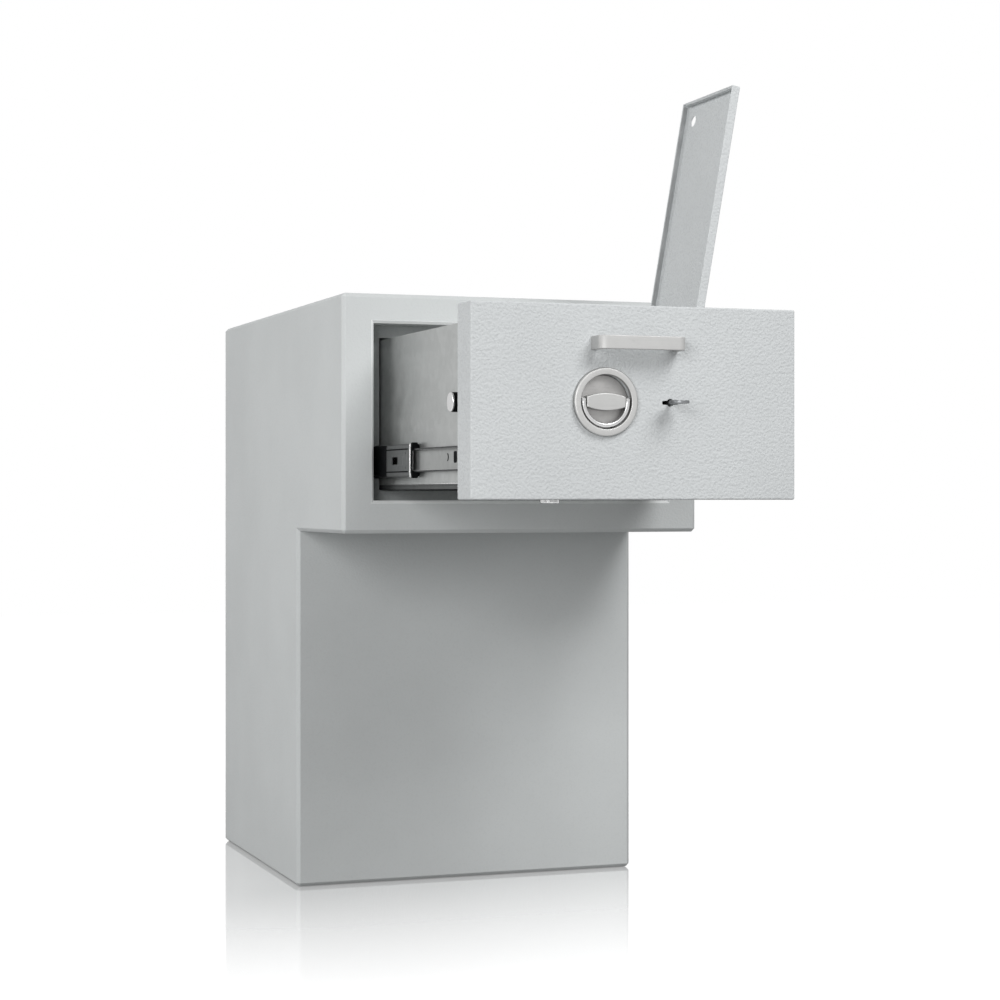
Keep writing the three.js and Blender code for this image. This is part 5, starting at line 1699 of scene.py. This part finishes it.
@dataclass(frozen=True)
class Lamp:
    """A soft square lamp: its place and size in metres and its power in watts."""

    name: str
    at: Place
    size: float
    power: float

    def hang(self, aim: Place) -> None:
        """Hang the lamp.

        Args:
            aim: the place that it is turned to.
        """
        data = bpy.data.lights.new(self.name, "AREA")
        data.size = self.size
        data.energy = self.power
        lamp = bpy.data.objects.new(self.name, data)
        lamp.location = self.at
        lamp.rotation_euler = (Vector(aim) - Vector(self.at)).to_track_quat("-Z", "Y").to_euler()
        bpy.context.scene.collection.objects.link(lamp)


@dataclass
class Studio:
    """The white studio, in metres: floor, background, lamps and camera."""

    camera_at: Place = (-0.9024, -2.7973, 0.4720)
    camera_turn: float = -19.942
    lens: float = 80.055
    sensor: float = 36.0
    shift: float = -0.00455
    near: float = 0.05
    far: float = 50.0
    aim: Place = (0.0, -0.4, 0.42)
    lamps: tuple[Lamp, ...] = (
        Lamp("key_lamp", (0.9, -2.6, 2.5), 1.5, 52.5),
        Lamp("side_lamp", (-3.2, -0.05, 1.7), 1.6, 39.5),
        Lamp("fill_lamp", (-1.9, -2.9, 1.1), 1.4, 37.0),
    )
    soft: float = 0.22
    floor_half: float = 6.0
    floor_drop: float = 0.0004
    floor_paper: float = 0.35
    floor_glow: float = 0.93
    floor_dull: float = 0.35
    foot: Place = (0.218, 0.194, 0.0)
    mirror: float = 0.76
    mirror_reach: float = 0.8
    mirror_rough: float = 0.05

    def build(self) -> None:
        """Build the studio."""
        self.camera()
        self.world()
        self.floor()
        for lamp in self.lamps:
            lamp.hang(self.aim)
        bpy.context.scene.view_settings.view_transform = "Standard"

    def camera(self) -> None:
        """Set the camera where the photograph was taken from."""
        data = bpy.data.cameras.new("photo_view")
        data.lens = self.lens
        data.sensor_width = self.sensor
        data.shift_y = self.shift
        data.clip_start = self.near
        data.clip_end = self.far
        camera = bpy.data.objects.new("photo_view", data)
        camera.location = self.camera_at
        camera.rotation_euler = (math.radians(90), 0, math.radians(self.camera_turn))
        bpy.context.scene.collection.objects.link(camera)
        bpy.context.scene.camera = camera

    def world(self) -> None:
        """Make the background white to the eye and in reflections, and softer as light."""
        world = bpy.data.worlds.new("white_studio")
        world.use_nodes = True
        wiring = Wiring(world.node_tree)
        soft = wiring.add("Background", {"Color": WHITE, "Strength": self.soft}).outputs[0]
        white = wiring.add("Background", {"Color": WHITE, "Strength": 1.0}).outputs[0]
        wiring.add("OutputWorld", {"Surface": wiring.either(self.seen(wiring), soft, white)})
        bpy.context.scene.world = world

    def seen(self, wiring: Wiring) -> bpy.types.NodeSocket:
        """Wire the mask of rays that show a surface to the eye, a mirror or a glass.

        Args:
            wiring: the wiring that it goes into.

        Returns:
            The mask.
        """
        path = wiring.add("LightPath").outputs
        direct = wiring.sums("ADD", path["Is Camera Ray"], path["Is Glossy Ray"], clamp=True)
        return wiring.sums("ADD", direct, path["Is Transmission Ray"], clamp=True)

    def floor(self) -> None:
        """Lay the white gloss floor, which keeps the shadow and a fading reflection of the foot."""
        part = bmesh.new()
        bmesh.ops.create_grid(part, x_segments=1, y_segments=1, size=self.floor_half)
        floor = Form(part).moved(Matrix.Translation((0, 0, -self.floor_drop))).put("studio_floor")
        material, wiring = open_material("studio_floor")
        paper = wiring.add("BsdfDiffuse", {"Color": (*(self.floor_paper,) * 3, 1.0)}).outputs[0]
        lit = wiring.add("Emission", {"Color": WHITE, "Strength": self.floor_glow}).outputs[0]
        bright = wiring.add("AddShader", {0: paper, 1: lit}).outputs[0]
        gloss = wiring.add("BsdfAnisotropic", {"Color": WHITE, "Roughness": self.mirror_rough}).outputs[0]
        shown = wiring.either(self.reach(wiring), bright, gloss)
        dull = wiring.add("BsdfDiffuse", {"Color": (*(self.floor_dull,) * 3, 1.0)}).outputs[0]
        wiring.add("OutputMaterial", {"Surface": wiring.either(self.seen(wiring), dull, shown)})
        floor.data.materials.append(material)

    def reach(self, wiring: Wiring) -> bpy.types.NodeSocket:
        """Wire the share of mirror in the floor, which fades with the distance from the foot.

        Args:
            wiring: the floor's wiring.

        Returns:
            The share.
        """
        apart = wiring.vectors("ABSOLUTE", wiring.where())[0]
        past = wiring.vectors("SUBTRACT", apart, self.foot)[0]
        away = wiring.vectors("LENGTH", wiring.vectors("MAXIMUM", past)[0])["Value"]
        span = {"From Min": 0.0, "From Max": self.mirror_reach, "To Min": self.mirror, "To Max": 0.0}
        return wiring.add("MapRange", {"Value": away, **span}).outputs[0]


def dress_unseen() -> None:
    """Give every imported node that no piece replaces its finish."""
    for node, made in frame["nodes"].items():
        for holder in made.material_slots:
            holder.material = SLOT_FINISH[SLOT_OF[node]].material()


def main() -> None:
    """Build the studio and every sub-assembly in order."""
    logging.basicConfig(level=logging.INFO, format="%(message)s")
    Studio().build()
    slides = [DrawerSlide(side, hand) for side, hand in HANDS]
    for assembly in (Carcass(), *slides, DrawerFace(), TurningHandle(), Boltwork(), DrawerBox(), RearDoor()):
        LOG.info("building %s", type(assembly).__name__)
        assembly.build()
    dress_unseen()


if __name__ == "__main__":
    main()
